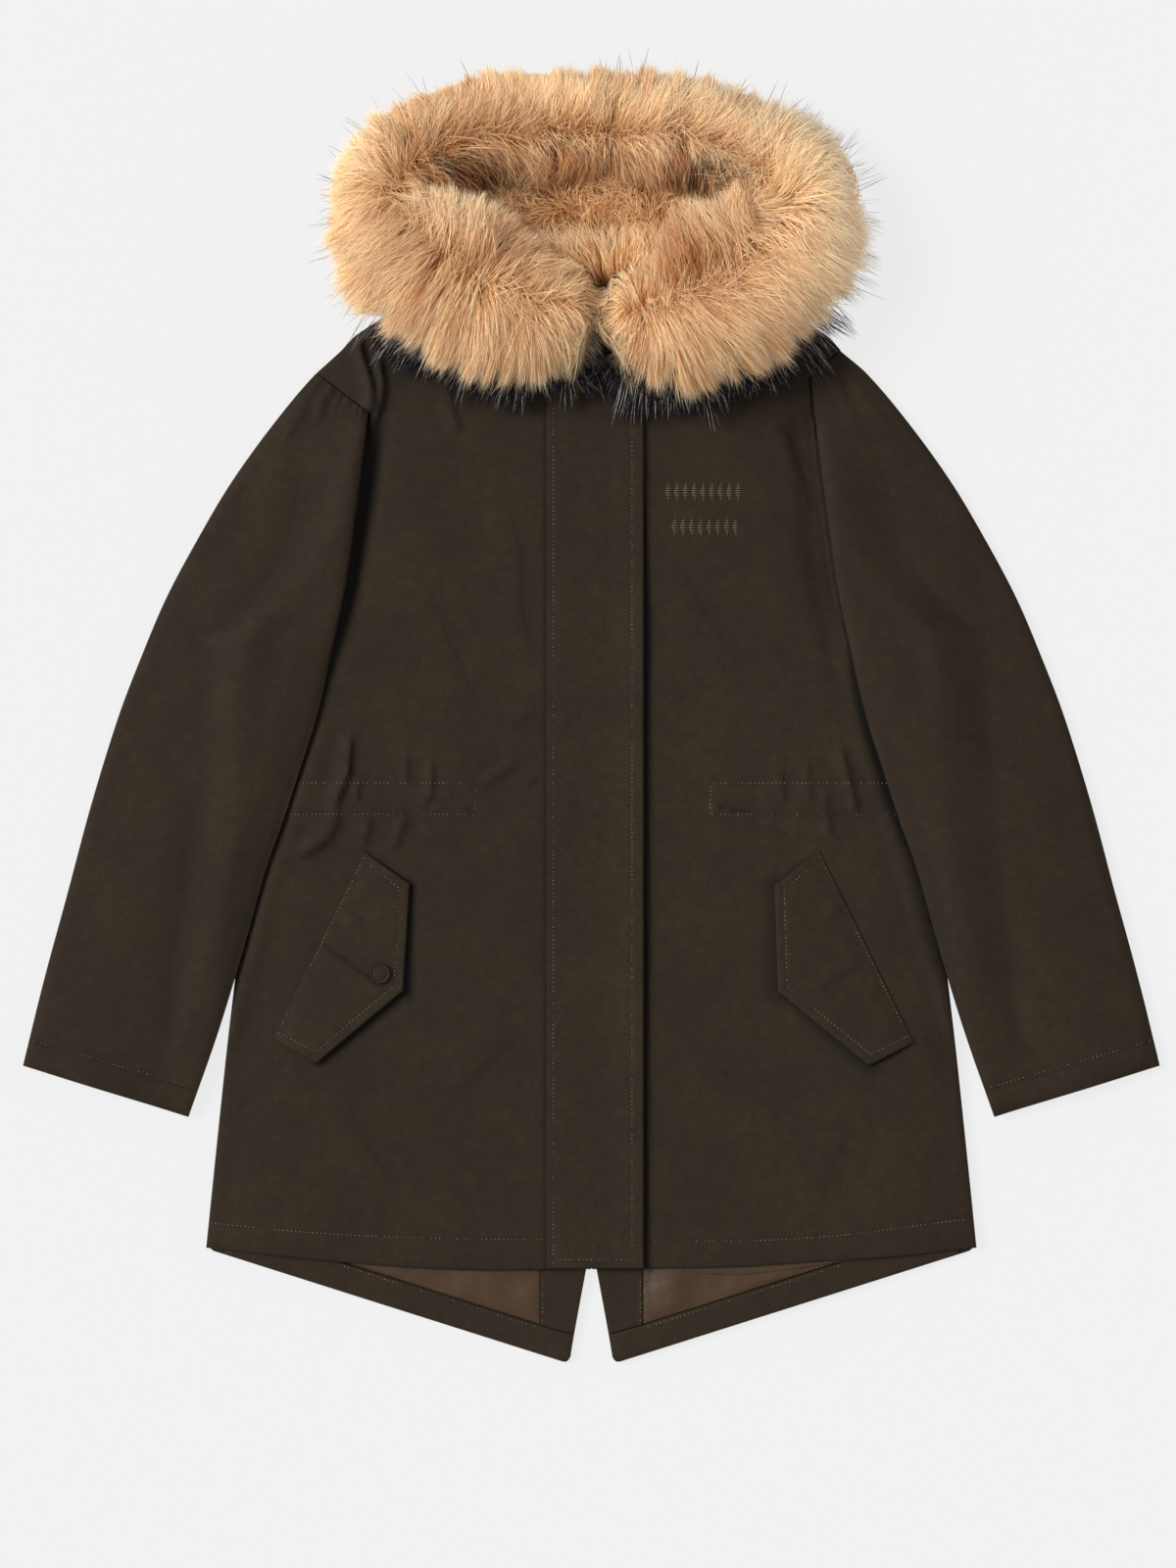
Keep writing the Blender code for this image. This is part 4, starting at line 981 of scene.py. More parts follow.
height = mesh_height(pieces["front_cloth_left"], 0.0)
points, faces, shade_faces = [], [], []
for row_y, first_x, count in LOZENGE_ROWS:
    for x0 in first_x + LOZENGE_STEP * np.arange(count):
        ground = float(height(np.array([x0]), np.array([row_y]))[0])
        # Painted shade round the lozenge, as a low pyramid.
        start = len(points)
        wide, tall = LOZENGE_WIDTH / 2 + 1.1, LOZENGE_TALL / 2 + 1.6
        for dx, dy in ((-1, 0), (0, -1), (1, 0), (0, 1)):
            points.append((x0 + dx * wide, row_y + dy * tall, ground - 0.3))
        points.append((x0, row_y, ground + 0.3))
        shade_faces += range(len(faces), len(faces) + 5)
        faces += [(start + k, start + (k + 1) % 4, start + 4) for k in range(4)]
        faces.append((start + 3, start + 2, start + 1, start))
        levels = np.linspace(-1, 1, 9)
        for a, b in zip(levels, levels[1:]):
            # One strand of satin stitch, from edge to edge of the lozenge.
            middle, half = (a + b) / 2, LOZENGE_WIDTH / 2 * (1 - abs((a + b) / 2)) + 0.25
            y0, thick = row_y + middle * LOZENGE_TALL / 2, (b - a) * LOZENGE_TALL * 0.16
            start = len(points)
            for dx, rise in ((-half, 0.0), (0.0, 0.9), (half, 0.0)):
                for dy, bulge in ((-thick, -0.15), (0.0, 0.25), (thick, -0.15)):
                    points.append((x0 + dx, y0 + dy, ground + rise + bulge))
            for p in (start, start + 3):
                faces += [(p, p + 3, p + 4, p + 1), (p + 1, p + 4, p + 5, p + 2), (p + 2, p + 5, p + 3, p)]
            faces += [(start, start + 1, start + 2), (start + 8, start + 7, start + 6)]
data = bpy.data.meshes.new("chest_embroidery")
data.from_pydata(metres(points).tolist(), [], faces)
add_piece("chest_embroidery", data, EMBROIDERY)
data.materials.append(EMBROIDERY_PAINTED_SHADE)
for k in shade_faces:
    data.polygons[k].material_index = 1

# ----------------------------------------------------------------------------------------- hood
# The hood lies open behind the neck: a shell of the coat's cotton, sewn to the neck and set full of
# slight creases. In it lies a lining of curled acrylic pile, knitted into a backing.

hood_form = bmesh.new()
hood_form.from_mesh(frame["nodes"]["hood"].data)
bmesh.ops.subdivide_edges(hood_form, edges=hood_form.edges[:], cuts=2, use_grid_fill=True)
hood_form.normal_update()
places = np.array([vertex.co for vertex in hood_form.verts]) * 1000
creases = ripples(places[:, 0], places[:, 1] + places[:, 2], (0.7, 26, 171), (0.3, 9, 172))
for vertex, crease in zip(hood_form.verts, creases):
    if vertex.co.z > 0.003:
        vertex.co += vertex.normal * float(min(crease, 0.2)) / 1000
data = bpy.data.meshes.new("hood_cloth")
hood_form.to_mesh(data)
hood_form.free()
hood = add_piece("hood_cloth", data, SHELL)
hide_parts("hood")


def fake_fur(name, root, middle, tip, dark, gloss=0.55):
    """Acrylic pile: deeper in the shade of its roots, honey along the hair, paler at the end, with
    some ends dyed dark. Light passes through the fine hair, which makes it look soft."""
    material, tree, shader = new_material(name, Roughness=gloss, IOR=1.49, Specular_IOR_Level=0.2)
    strand = add_node(tree, "ShaderNodeAttribute", attribute_name="strand")
    parts = add_node(tree, "ShaderNodeSeparateColor", {"Color": strand.outputs["Color"]})
    along_hair, own, dyed = (parts.outputs[k] for k in range(3))
    low = add_node(tree, "ShaderNodeMapRange", {"Value": along_hair, "From Min": 0.0, "From Max": 0.5})
    high = add_node(tree, "ShaderNodeMapRange", {"Value": along_hair, "From Min": 0.45, "From Max": 1.0})
    depth = add_node(tree, "ShaderNodeMapRange", {"Value": own, "To Min": 1.0, "To Max": 0.0})
    end = add_node(tree, "ShaderNodeMath", {0: along_hair, 1: dyed}, operation="MULTIPLY")
    ink = add_node(tree, "ShaderNodeMapRange",
                   {"Value": end.outputs[0], "From Min": 0.40, "From Max": 0.75})
    colour = linear(root)
    for share, shade, blend in ((low.outputs[0], middle, "MIX"), (high.outputs[0], tip, "MIX"),
                                (strand.outputs["Alpha"], "#fcf0d8", "MIX"),
                                (depth.outputs[0], "#be8754", "MULTIPLY"), (ink.outputs[0], dark, "MIX")):
        mixed = add_node(tree, "ShaderNodeMix", {0: share, 6: colour, 7: linear(shade)},
                         data_type="RGBA", blend_type=blend)
        colour = mixed.outputs[2]
    tree.links.new(colour, shader.inputs["Base Color"])
    through = add_node(tree, "ShaderNodeBsdfTranslucent", {"Color": colour})
    both = add_node(tree, "ShaderNodeMixShader", {0: 0.42, 1: shader.outputs[0], 2: through.outputs[0]})
    tree.links.new(both.outputs[0], tree.nodes["Material Output"].inputs["Surface"])
    return material


BACKING_STRAND = (0.05, 0.3, 0.0, 0.0)  # near the root, browner, neither dyed nor bleached


def base_fabric(name, mesh, material):
    """The knitted backing of a pile, from its welded mesh, which is freed."""
    bmesh.ops.recalc_face_normals(mesh, faces=mesh.faces)
    data = bpy.data.meshes.new(name)
    mesh.to_mesh(data)
    mesh.free()
    strand = data.attributes.new("strand", "FLOAT_COLOR", "POINT")
    strand.data.foreach_set("color", np.tile(BACKING_STRAND, len(data.vertices)).astype(np.float32))
    return add_piece(name, data, material)


# The lining's pile is redder than the trim's, and its curls shade one another.
LINING_PILE = fake_fur("curled_lining_pile", "#d8a468", "#f6cb8e", "#fde5b9", "#3a2a20")
mesh = bmesh.new()
mesh.from_mesh(frame["nodes"]["hood_lining"].data)
bmesh.ops.remove_doubles(mesh, verts=mesh.verts, dist=0.00001)
mesh.normal_update()
for vertex in mesh.verts:
    vertex.co -= vertex.normal * 0.0015
    if vertex.co.y < 0.352:  # its neck edge reaches under the trim
        vertex.co.y -= 0.009
lining_base = base_fabric("hood_lining_backing", mesh, LINING_PILE)
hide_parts("hood_lining")

# ------------------------------------------------------------------------------ fur trim, backing
# The trim is a wide strip of acrylic fur, its pile knitted into a backing, which is rolled and fixed
# round the hood's edge. Here the backing is a tube inside the roll, closed at both ends.

Trim = namedtuple("Trim", "x y half crest")
TRIM = [Trim(-14, 829, 41, 76), Trim(-50, 833, 51, 84), Trim(-97, 848, 58, 88),
        Trim(-142, 878, 63, 88), Trim(-165, 920, 49, 84), Trim(-157, 955, 44, 80),
        Trim(-123, 975, 43, 78), Trim(-78, 989, 44, 76), Trim(0, 992, 42, 74),
        Trim(78, 988, 43, 76), Trim(124, 970, 42, 78), Trim(157, 950, 48, 80),
        Trim(168, 918, 54, 84), Trim(150, 878, 61, 88), Trim(110, 845, 60, 88),
        Trim(68, 830, 54, 86), Trim(29, 826, 41, 78)]
TRIM_ENDS = [(17.5, 0.42), (11.0, 0.80), (5.0, 0.95)]  # distance past an end, share of the size
ROLL_MIDDLE = 0.36  # height of the roll's axis, as a share of its crest's height
END_HEIGHT = 18.5  # of the closed ends
ROOTS = 0.66  # of the roll's size, where the backing lies
# Extruded acrylic, sheared long: honey along the hair and almost cream at its end.
FUR = fake_fur("long_acrylic_pile", "#dcae78", "#fbdaa5", "#fff0ce", "#211a1c")

place = np.linspace(0, 1, 240)
track = np.stack([along([(k, row[c]) for k, row in enumerate(TRIM)], place * (len(TRIM) - 1))
                  for c in range(4)], 1)
run = np.gradient(track[:, :2], axis=0)
run /= np.linalg.norm(run, axis=1, keepdims=True)
ends = []
for end, way, order in ((0, -1, TRIM_ENDS), (-1, 1, TRIM_ENDS[::-1])):
    ends.append([[*(track[end, :2] + way * run[end] * off), track[end, 2] * size,
                  END_HEIGHT + (track[end, 3] - END_HEIGHT) * size, *run[end]] for off, size in order])
stations = np.concatenate([ends[0], np.concatenate([track, run], 1), ends[1]])
travelled = np.concatenate([[0], np.cumsum(np.linalg.norm(np.diff(stations[:, :2], axis=0), axis=1))])
TRIM_LENGTH = travelled[-1]


def roll_at(distance):
    """Columns of the roll at a distance along it: x, y, half, crest and its run's x and y.

    Near the ends half and crest stay those of a blunt end, so that the hair there fans out.
    """
    blunt = np.clip(distance, 4.0, TRIM_LENGTH - 4.0)
    places = {2: blunt, 3: blunt}
    return [np.interp(places.get(c, distance), travelled, stations[:, c]) for c in range(6)]


# How far short of its ends the roll stops, against the angle.
RIGHT_END = ((-60, -31, -9, 13, 31, 60, 90), (-9, -1, 5, 10, 13, 15, 17))
LEFT_END = ((-70, -36, -13, 13, 36, 60, 90), (6, -1, -3, 2, 10, 15, 19))


def on_roll(distance, angle, size, slack=0.0):
    """Points at a distance along the roll, an angle from its crest (degrees), a share of its size."""
    held = np.clip(distance, np.interp(angle, *RIGHT_END) - slack,
                   TRIM_LENGTH - np.interp(angle, *LEFT_END) + slack)
    distance = held + 2.5 * np.tanh((distance - held) / 10)
    past = distance - np.clip(distance, 0, TRIM_LENGTH)
    x, y, half, crest, run_x, run_y = roll_at(distance)
    turn = np.radians(angle)
    middle = ROLL_MIDDLE * crest
    across = half * np.sin(turn) * size
    rise = np.where(np.cos(turn) > 0, crest - middle, middle * 0.9) * np.cos(turn) * size
    return np.stack([x - run_y * across + run_x * past, y + run_x * across + run_y * past,
                     np.maximum(middle + rise, 0.8)], -1)


at_end = np.array([0, 2, 5, 9, 14])
tube_rings = np.concatenate([at_end, np.linspace(20, TRIM_LENGTH - 20, 120), TRIM_LENGTH - at_end[::-1]])
u, a = np.meshgrid(tube_rings, np.linspace(-180, 180, 36, endpoint=False), indexing="ij")
off_end = np.minimum(u, TRIM_LENGTH - u)
closing = np.sqrt(np.clip(1 - np.maximum(0, 1 - off_end / 14) ** 2, 0.001, 1))
mesh = bmesh.new()
rings = [[mesh.verts.new(point) for point in ring] for ring in metres(on_roll(u, a, ROOTS * closing))]
for ring, following in zip(rings, rings[1:]):
    for k in range(len(ring)):
        mesh.faces.new((ring[k - 1], ring[k], following[k], following[k - 1]))
mesh.faces.new(rings[0])
mesh.faces.new(rings[-1])
trim_base = base_fabric("fur_trim_backing", mesh, FUR)
shade = np.tile(BACKING_STRAND, (len(trim_base.data.vertices), 1))
for vertex, colour in zip(trim_base.data.vertices, shade):  # coloured near black between the ends: painted shade in the split
    near = float(ease((28 - abs(vertex.co.x * 1000 - 4)) / 14) * ease((0.335 - vertex.co.y) * 1000 / 10))
    colour[:3] = (1, 0.3, 1) if near > 0.3 else colour[:3]
trim_base.data.attributes["strand"].data.foreach_set("color", shade.astype(np.float32).ravel())
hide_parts("fur_trim")

# ------------------------------------------------------------------------- fur trim, long pile
# The pile is 30 to 50 mm long. It parts along a line on the mouth's side of the roll: outside that
# it sweeps outwards and down, inside it reaches into the hood. It gathers in locks of three sizes.

PARTING = -28.0  # degrees from the crest, towards the mouth
PILE_ROOT = 0.62  # of the roll's size
PILE_HAIRS = 24500  # in each of three stretches
HAIR_WIDTH = (0.42, 0.72)  # about ten times the real one, because there are far fewer hairs
Clump = namedtuple("Clump", "along round tight lean length tone")
CLUMPS = [Clump(46.0, 42.0, 0.08, 14.0, 0.040, 0.06), Clump(20.0, 23.0, 0.38, 9.0, 0.045, 0.14),
          Clump(7.0, 9.0, 0.48, 2.8, 0.030, 0.17)]
RimTuft = namedtuple("RimTuft", "along tight lean length")
RIM_TUFTS = [RimTuft(31.0, 0.12, 7.0, 0.050), RimTuft(13.0, 0.40, 5.0, 0.050),
             RimTuft(6.5, 0.62, 3.5, 0.045)]
DARK_SPOTS = [(-90, 948, -0.42), (90, 939, 0.45)]  # where the tips are dyed dark: x, y and slope


def hair_mesh(name, curves, width, own, dyed, roll, material, pale=0.0):
    """Flat tapered hairs along curves (hair, level, 3), the last level a single point.

    own is each hair's tone, dyed how dark its end is, and pale how far it is bleached.
    """
    count, levels = curves.shape[:2]
    tangent = np.gradient(curves, axis=1)
    tangent /= np.linalg.norm(tangent, axis=2, keepdims=True) + 1e-9
    side = np.cross(tangent, np.array([0.0, 0.0, 1.0]) + 0 * tangent)
    side /= np.linalg.norm(side, axis=2, keepdims=True) + 1e-6
    face = np.cross(side, tangent)
    side = side * np.cos(roll)[:, None, None] + face * np.sin(roll)[:, None, None]
    taper = np.array([0.75, 1.0, 0.85, 0.55, 0.0] if levels == 5 else [0.8, 1.0, 0.65, 0.0])
    half = side * (width[:, None] * taper / 2)[:, :, None]
    body = np.stack([(curves - half)[:, :-1], (curves + half)[:, :-1]], 2).reshape(count, -1, 3)
    points = np.concatenate([body, curves[:, -1:]], 1)
    per_hair = points.shape[1]
    corners = [corner for k in range(levels - 2) for corner in (2 * k, 2 * k + 1, 2 * k + 3, 2 * k + 2)]
    corners += [per_hair - 3, per_hair - 2, per_hair - 1]
    loops = np.arange(count)[:, None] * per_hair + np.array(corners)
    sizes = np.tile([4] * (levels - 2) + [3], count)
    data = bpy.data.meshes.new(name)
    data.vertices.add(count * per_hair)
    data.vertices.foreach_set("co", metres(points.reshape(-1, 3)).astype(np.float32).ravel())
    data.loops.add(loops.size)
    data.loops.foreach_set("vertex_index", loops.ravel().astype(np.int32))
    data.polygons.add(len(sizes))
    data.polygons.foreach_set("loop_start", (np.cumsum(sizes) - sizes).astype(np.int32))
    data.update(calc_edges=True)
    share = np.append(np.repeat(np.linspace(0, 1, levels)[:-1], 2), 1.0)
    shares = [np.tile(share, count)]
    for value in (np.clip(own, 0, 1), dyed, pale):
        shares.append(np.repeat(np.broadcast_to(value, count), per_hair))
    strand = data.attributes.new("strand", "FLOAT_COLOR", "POINT")
    strand.data.foreach_set("color", np.stack(shares, 1).astype(np.float32).ravel())
    return add_piece(name, data, material)


def tufted(distance, pitch, waver, seed, draw_seed, draws):
    """Hairs gathered in tufts along the roll: the place of each one's tuft, and its tuft's draws.

    waver is how far, and over what length, the tufts' bounds stray.
    """
    cell = np.floor(distance / pitch + waver[0] * ripple(distance, 0 * distance, waver[1], seed))
    own = np.random.default_rng(draw_seed).uniform(-1, 1, draws)[cell.astype(int) % draws[0]]
    return (cell + 0.5) * pitch, own


def combed(seed, distance, angle, sweep, tip, drift, loose):
    """Hairs on the roll. Each leans from its root by a sweep in degrees, drawn to its clumps' ends.

    tip is the share of the roll's size that they reach, drift how far they lean along it in mm.
    """
    rng = np.random.default_rng(seed)
    count = len(distance)
    s = np.linspace(0, 1, 5)[None, :]
    swirl = 15.0 * ripple(distance, angle * 1.2, 75, 201) + 9.0 * ripple(distance, angle * 1.3, 30, 202)
    stray = np.where(rng.uniform(0, 1, count) < 0.10, 2.6, 1.0)
    lean = rng.normal(0, 4.6, count) * stray * loose
    bend = sweep * (1 + rng.normal(0, 0.16, count) * stray) + rng.normal(0, 5, count) * loose
    rim = ease((angle + bend - 45) / 30) * (1 - ease((angle - 92) / 8))  # hair that ends at the outline
    lean = drift + (swirl + lean) * (1 - 0.6 * rim)
    under = ease((angle - 84) / 10)
    end = tip - 0.015 * rim - 0.10 * under + rng.normal(0, 0.034, count) * (1 + 0.8 * rim)
    end += 0.04 * rim * ease((880 - roll_at(distance)[1]) / 30)
    end += rim * (rng.uniform(0, 1, count) < 0.13) * rng.uniform(0.02, 0.13, count)
    tone = np.zeros(count)
    u = distance[:, None] + 0 * s
    a = angle[:, None] + 0 * s
    for order, clump in enumerate(CLUMPS):
        cell_u = np.floor(distance / clump.along + 0.5 * ripple(distance, angle, 40, 211 + order))
        cell_a = np.floor(angle / clump.round + 0.5 * ripple(distance, angle, 40, 221 + order))
        key = (cell_u * 131 + cell_a * 71).astype(int) % 4096
        own = np.random.default_rng(231 + order).uniform(-1, 1, (4096, 5))[key]
        centre_u = (cell_u + 0.5 + 0.35 * own[:, 0]) * clump.along
        centre_a = (cell_a + 0.5 + 0.35 * own[:, 1]) * clump.round
        pull = clump.tight * (1 - 0.7 * rim[:, None]) * s ** 1.5
        u = u + (centre_u - distance)[:, None] * pull
        a = a + (centre_a - angle)[:, None] * pull
        tone = tone + clump.tone * own[:, 1]
        lean = lean + clump.lean * own[:, 2] * (1 - 0.75 * rim)
        bend = bend * (1 + 0.12 * own[:, 3])
        end = end + clump.length * own[:, 4] * (1 - 0.7 * rim)
    for order, tuft in enumerate(RIM_TUFTS):
        centre, own = tufted(distance, tuft.along, (0.6, 31), 251 + order, 261 + order, (4096, 3))
        off = centre + 0.3 * own[:, 0] * tuft.along - distance
        u = u + off[:, None] * tuft.tight * rim[:, None] * s ** 1.5
        lean = lean + tuft.lean * own[:, 1] * rim
        end = end + tuft.length * (own[:, 2] + 0.5 - 2.4 * np.abs(off) / tuft.along) * rim
    u = u + lean[:, None] * s ** 1.1
    a = np.clip(a + bend[:, None] * s ** 1.1, -116, np.where(angle < 92, 95, 112)[:, None])
    size = PILE_ROOT + (end - PILE_ROOT)[:, None] * s ** 0.8
    cell = np.floor(angle / 13 + 0.5 * ripple(distance, angle, 40, 271)).astype(int) % 64
    slack = 3.0 * np.random.default_rng(272).uniform(-1, 1, 64)[cell] + rng.normal(0, 2.6, count)
    return on_roll(u, a, size, slack[:, None] * s), tone


def past_ends(distance, angle):
    """How far a place on the roll lies past its right or left end. It is negative between them."""
    return np.maximum(np.interp(angle, *RIGHT_END) - distance,
                      distance - TRIM_LENGTH + np.interp(angle, *LEFT_END))


def dark_patch(x, y):
    """1 in the middle of the two dyed spots inside the hood's top, 0 clear of them."""
    patch = 0
    for spot_x, spot_y, slope in DARK_SPOTS:
        off_x = x - spot_x
        off_y = y - spot_y - slope * off_x
        patch = patch + np.exp(-((off_x / 30) ** 2 + (off_y / 15) ** 2) ** 1.5)
    return patch


def trim_hairs(name, seed, first, last, count):
    """The long pile of one stretch of the trim."""
    rng = np.random.default_rng(seed)
    distance = rng.uniform(first, last, count)
    angle = rng.triangular(-108, -20, 104, count) * 0.5 + rng.uniform(-108, 104, count) * 0.5
    parting = PARTING + 9 * ripple(distance, 0 * distance, 38, 241)
    off = angle - parting + rng.normal(0, 15, count)  # hairs near the parting cross it
    outward = 60 * (1 - 0.80 * ease((angle - 10) / 70))
    inward = -46 * (1 - 0.62 * ease((-angle - 40) / 55))
    x, y = roll_at(distance)[:2]
    centre = np.exp(-((x + 58) / 34) ** 2) + np.exp(-((x - 100) / 30) ** 2)
    centre = np.where(y < 905, centre, 0.55 * ease((y - 940) / 20))
    loose_hair = 0.42 - 0.12 * centre
    upright = loose_hair + (1 - loose_hair) * ease(np.abs(off) / 16)
    sweep = np.where(off > 0, outward, inward) * upright
    fan = -34 * (1 - ease(distance / 60)) + 34 * ease((distance - TRIM_LENGTH + 60) / 60)
    ruffled = np.exp(-(off / 13) ** 2)
    inner = ease((-angle - 5) / 45) * (off < 0)
    tip = 0.975 + 0.03 * ruffled + inner * rng.uniform(0.05, 0.36, count)
    curves, tone = combed(seed, distance, angle, sweep, tip, fan, 1 + 1.5 * ruffled * centre)
    # Dark ends: dyed in the spots and in a few streaks, and painted shade in the split between the trim's
    # ends.
    patch = dark_patch(curves[:, -1, 0], curves[:, -1, 1]) * ease((y - 918) / 12)
    short = past_ends(distance + fan, angle)
    crevice_painted_shade = np.maximum(0.8 * ease((short + 14) / 20) * ease((angle + 20) / 35),
                         0.7 * ease((short + 4) / 8) * (0.3 + 0.7 * ease((angle + 5) / 30)))
    streaks = 0.05 * ease((ripple(distance, angle, 26, 6) - 0.35) / 0.3)
    top_left = ease((-110 - x) / 12) * ease((y - 938) / 12) * ease((30 - np.abs(angle + 5)) / 15)
    streaks = streaks + 0.45 * top_left * ease((ripple(distance, angle * 0.6, 11, 7) - 0.25) / 0.25)
    inked = rng.uniform(0, 1, count) < 0.004 + streaks + 0.66 * patch + 0.8 * crevice_painted_shade
    dyed = np.where(inked, rng.uniform(0.75, 1.3, count) + 1.2 * crevice_painted_shade, 0.0)
    # Tone: browner along the parting, as painted shade, and browner inside the top and towards the neck,
    # paler on the wearer's left.
    front = ease((890 - y) / 30)
    own = 0.86 + 0.16 * ripple(distance, angle * 1.2, 34, 5) + tone
    own += rng.normal(0, 0.14, count) * (1 + 0.9 * front)
    # Painted shade along the parting, deepest in the lobes' middles.
    own -= (0.04 + 0.28 * centre) * ruffled + 0.10 * patch
    own -= 0.46 * ease((y - 935) / 30) * ease((-angle - 12) / 40)
    own -= 0.09 * ease((y - 955) / 20) * ease((angle + 20) / 30)
    towards_mouth = 0.15 * np.tanh(x / 40) * ease((-angle - 15) / 25) - 0.10 * ease((-angle - 25) / 25)
    own -= front * (0.09 + towards_mouth)
    own += 0.12 * ease((x - 110) / 50) - 0.14 * ease((-60 - x) / 30) * ease((y - 950) / 15)
    pale = 0.85 * ease((x + 20) / 150) * ease((angle + 30) / 50) * ease((y - 840) / 70)
    width = rng.uniform(*HAIR_WIDTH, count)
    hair_mesh(name, curves, width, own, dyed, rng.normal(0, 0.6, count), FUR, pale)


stretch = TRIM_LENGTH / 3
for k, part in enumerate(("right", "top", "left")):
    trim_hairs("fur_trim_pile_" + part, 101 + k, k * stretch, (k + 1) * stretch, PILE_HAIRS)

# --------------------------------------------------------------- fur trim, tufts at the openings
# The same pile where it leaves the roll: tufts that lean over the hood's mouth, and thinner ones at the
# split below the chin, where the trim's two ends meet; many of their ends are darkened as painted shade.

Reach = namedtuple("Reach", "x y z heading length")  # of the hairs' tips; the heading is in degrees
MOUTH_EDGE = {
    -1: [Reach(-152, 951, 60, 104, 24), Reach(-128, 945, 62, 94, 28), Reach(-105, 940, 63, 83, 30),
         Reach(-85, 934, 63, 71, 30), Reach(-69, 923, 61, 59, 30), Reach(-50, 910, 56, 46, 28),
         Reach(-37, 896, 54, 36, 27), Reach(-22, 883, 51, 20, 25), Reach(-5, 874, 48, 0, 18)],
    1: [Reach(122, 956, 58, 93, 22), Reach(106, 939, 60, 104, 28), Reach(84, 930, 62, 112, 30),
        Reach(64, 924, 62, 118, 30), Reach(54, 910, 59, 124, 28), Reach(48, 889, 54, 121, 26),
        Reach(37, 875, 48, 130, 20), Reach(28, 867, 46, 142, 14)],
}
LOBE_END = {
    -1: [Reach(8, 822, 34, -42, 22), Reach(7, 812, 30, -48, 24), Reach(5, 801, 24, -53, 24),
         Reach(0, 790, 20, -57, 24), Reach(-4, 780, 18, -61, 22), Reach(-14, 775, 16, -68, 20)],
    1: [Reach(10, 818, 32, -138, 18), Reach(14, 803, 26, -136, 20), Reach(20, 790, 22, -122, 22),
        Reach(26, 780, 20, -113, 24), Reach(35, 774, 18, -104, 22)],
}
MOUTH_TONE = {-1: (0.96, 0.28), 1: (0.78, 0.10)}  # tone, how far it is bleached
TUFT_PITCH = 6.5


def reaching_hairs(name, seed, tips, count, depth, width, inked, tone, pale):
    """Tufts that stand off the roll and end along a line of tips, or up to depth short of it.

    inked is the share of hairs with dark ends.
    """
    rng = np.random.default_rng(seed)
    table = np.array(tips, float)
    gone = np.concatenate([[0], np.cumsum(np.hypot(*np.diff(table[:, :2], axis=0).T))])
    distance = rng.uniform(0, gone[-1], count)
    centre, tuft = tufted(distance, TUFT_PITCH, (0.5, 13), seed, seed + 1, (1024, 4))
    centre = centre + 0.3 * tuft[:, 3] * TUFT_PITCH
    x, y, z, heading, length = (np.interp(distance, gone, table[:, c])[:, None] for c in range(5))
    centre_x, centre_y = (np.interp(centre, gone, table[:, c])[:, None] for c in (0, 1))
    turn = np.radians(heading + (12 * tuft[:, 0] + rng.normal(0, 8, count))[:, None])
    back = depth * rng.uniform(0, 1, count) ** 1.4
    length = length * rng.uniform(0.7, 1.15, count)[:, None]
    s = np.linspace(0, 1, 5)[None, :]
    off = (3.2 * tuft[:, 1] + rng.normal(0, 2.0, count) - back)[:, None] - length * (1 - s)
    pull = 0.45 * s ** 1.5
    bend = rng.normal(0, 2.2, count)[:, None] * s ** 2
    rise = 0.6 * back[:, None] + 0.45 * length * (1 - s) - 17 * (1 - s) ** 2
    curves = np.stack([x + off * np.cos(turn) - bend * np.sin(turn) + (centre_x - x) * pull,
                       y + off * np.sin(turn) + bend * np.cos(turn) + (centre_y - y) * pull,
                       np.clip(z + rise, 9, 88)], -1)
    dyed = np.where(rng.uniform(0, 1, count) < inked, rng.uniform(0.8, 1.3, count), 0.0)
    towards_neck = ease((distance / gone[-1] - 0.30) / 0.35)
    own = tone + 0.14 * tuft[:, 2] + rng.normal(0, 0.16, count) - 0.26 * towards_neck - 0.25 * back / 27
    hair_mesh(name, curves, rng.uniform(*width, count), own, dyed, rng.normal(0, 0.6, count), FUR,
              pale * (1 - 0.75 * towards_neck) * rng.uniform(0.3, 1.0, count))


for side_name, side in SIDES:
    reaching_hairs("fur_trim_mouth_hair_" + side_name, 121 + side, MOUTH_EDGE[side], 3900, 27.0,
                   HAIR_WIDTH, 0.03, *MOUTH_TONE[side])
    # At the split, nearly half of the ends are darkened as painted shade.
    reaching_hairs("fur_trim_end_hair_" + side_name, 131 + side, LOBE_END[side], 420, 6.0,
                   (0.28, 0.46), 0.45, 0.9, 0.6)

# --------------------------------------------------------------------------- fur trim, back hair
# The pile on the roll's back, which hangs down to the surface that the hood lies on. It doesn't
# show from above, so it is fewer and wider hairs.

BACK_FROM = 884.0  # y of the roll's axis


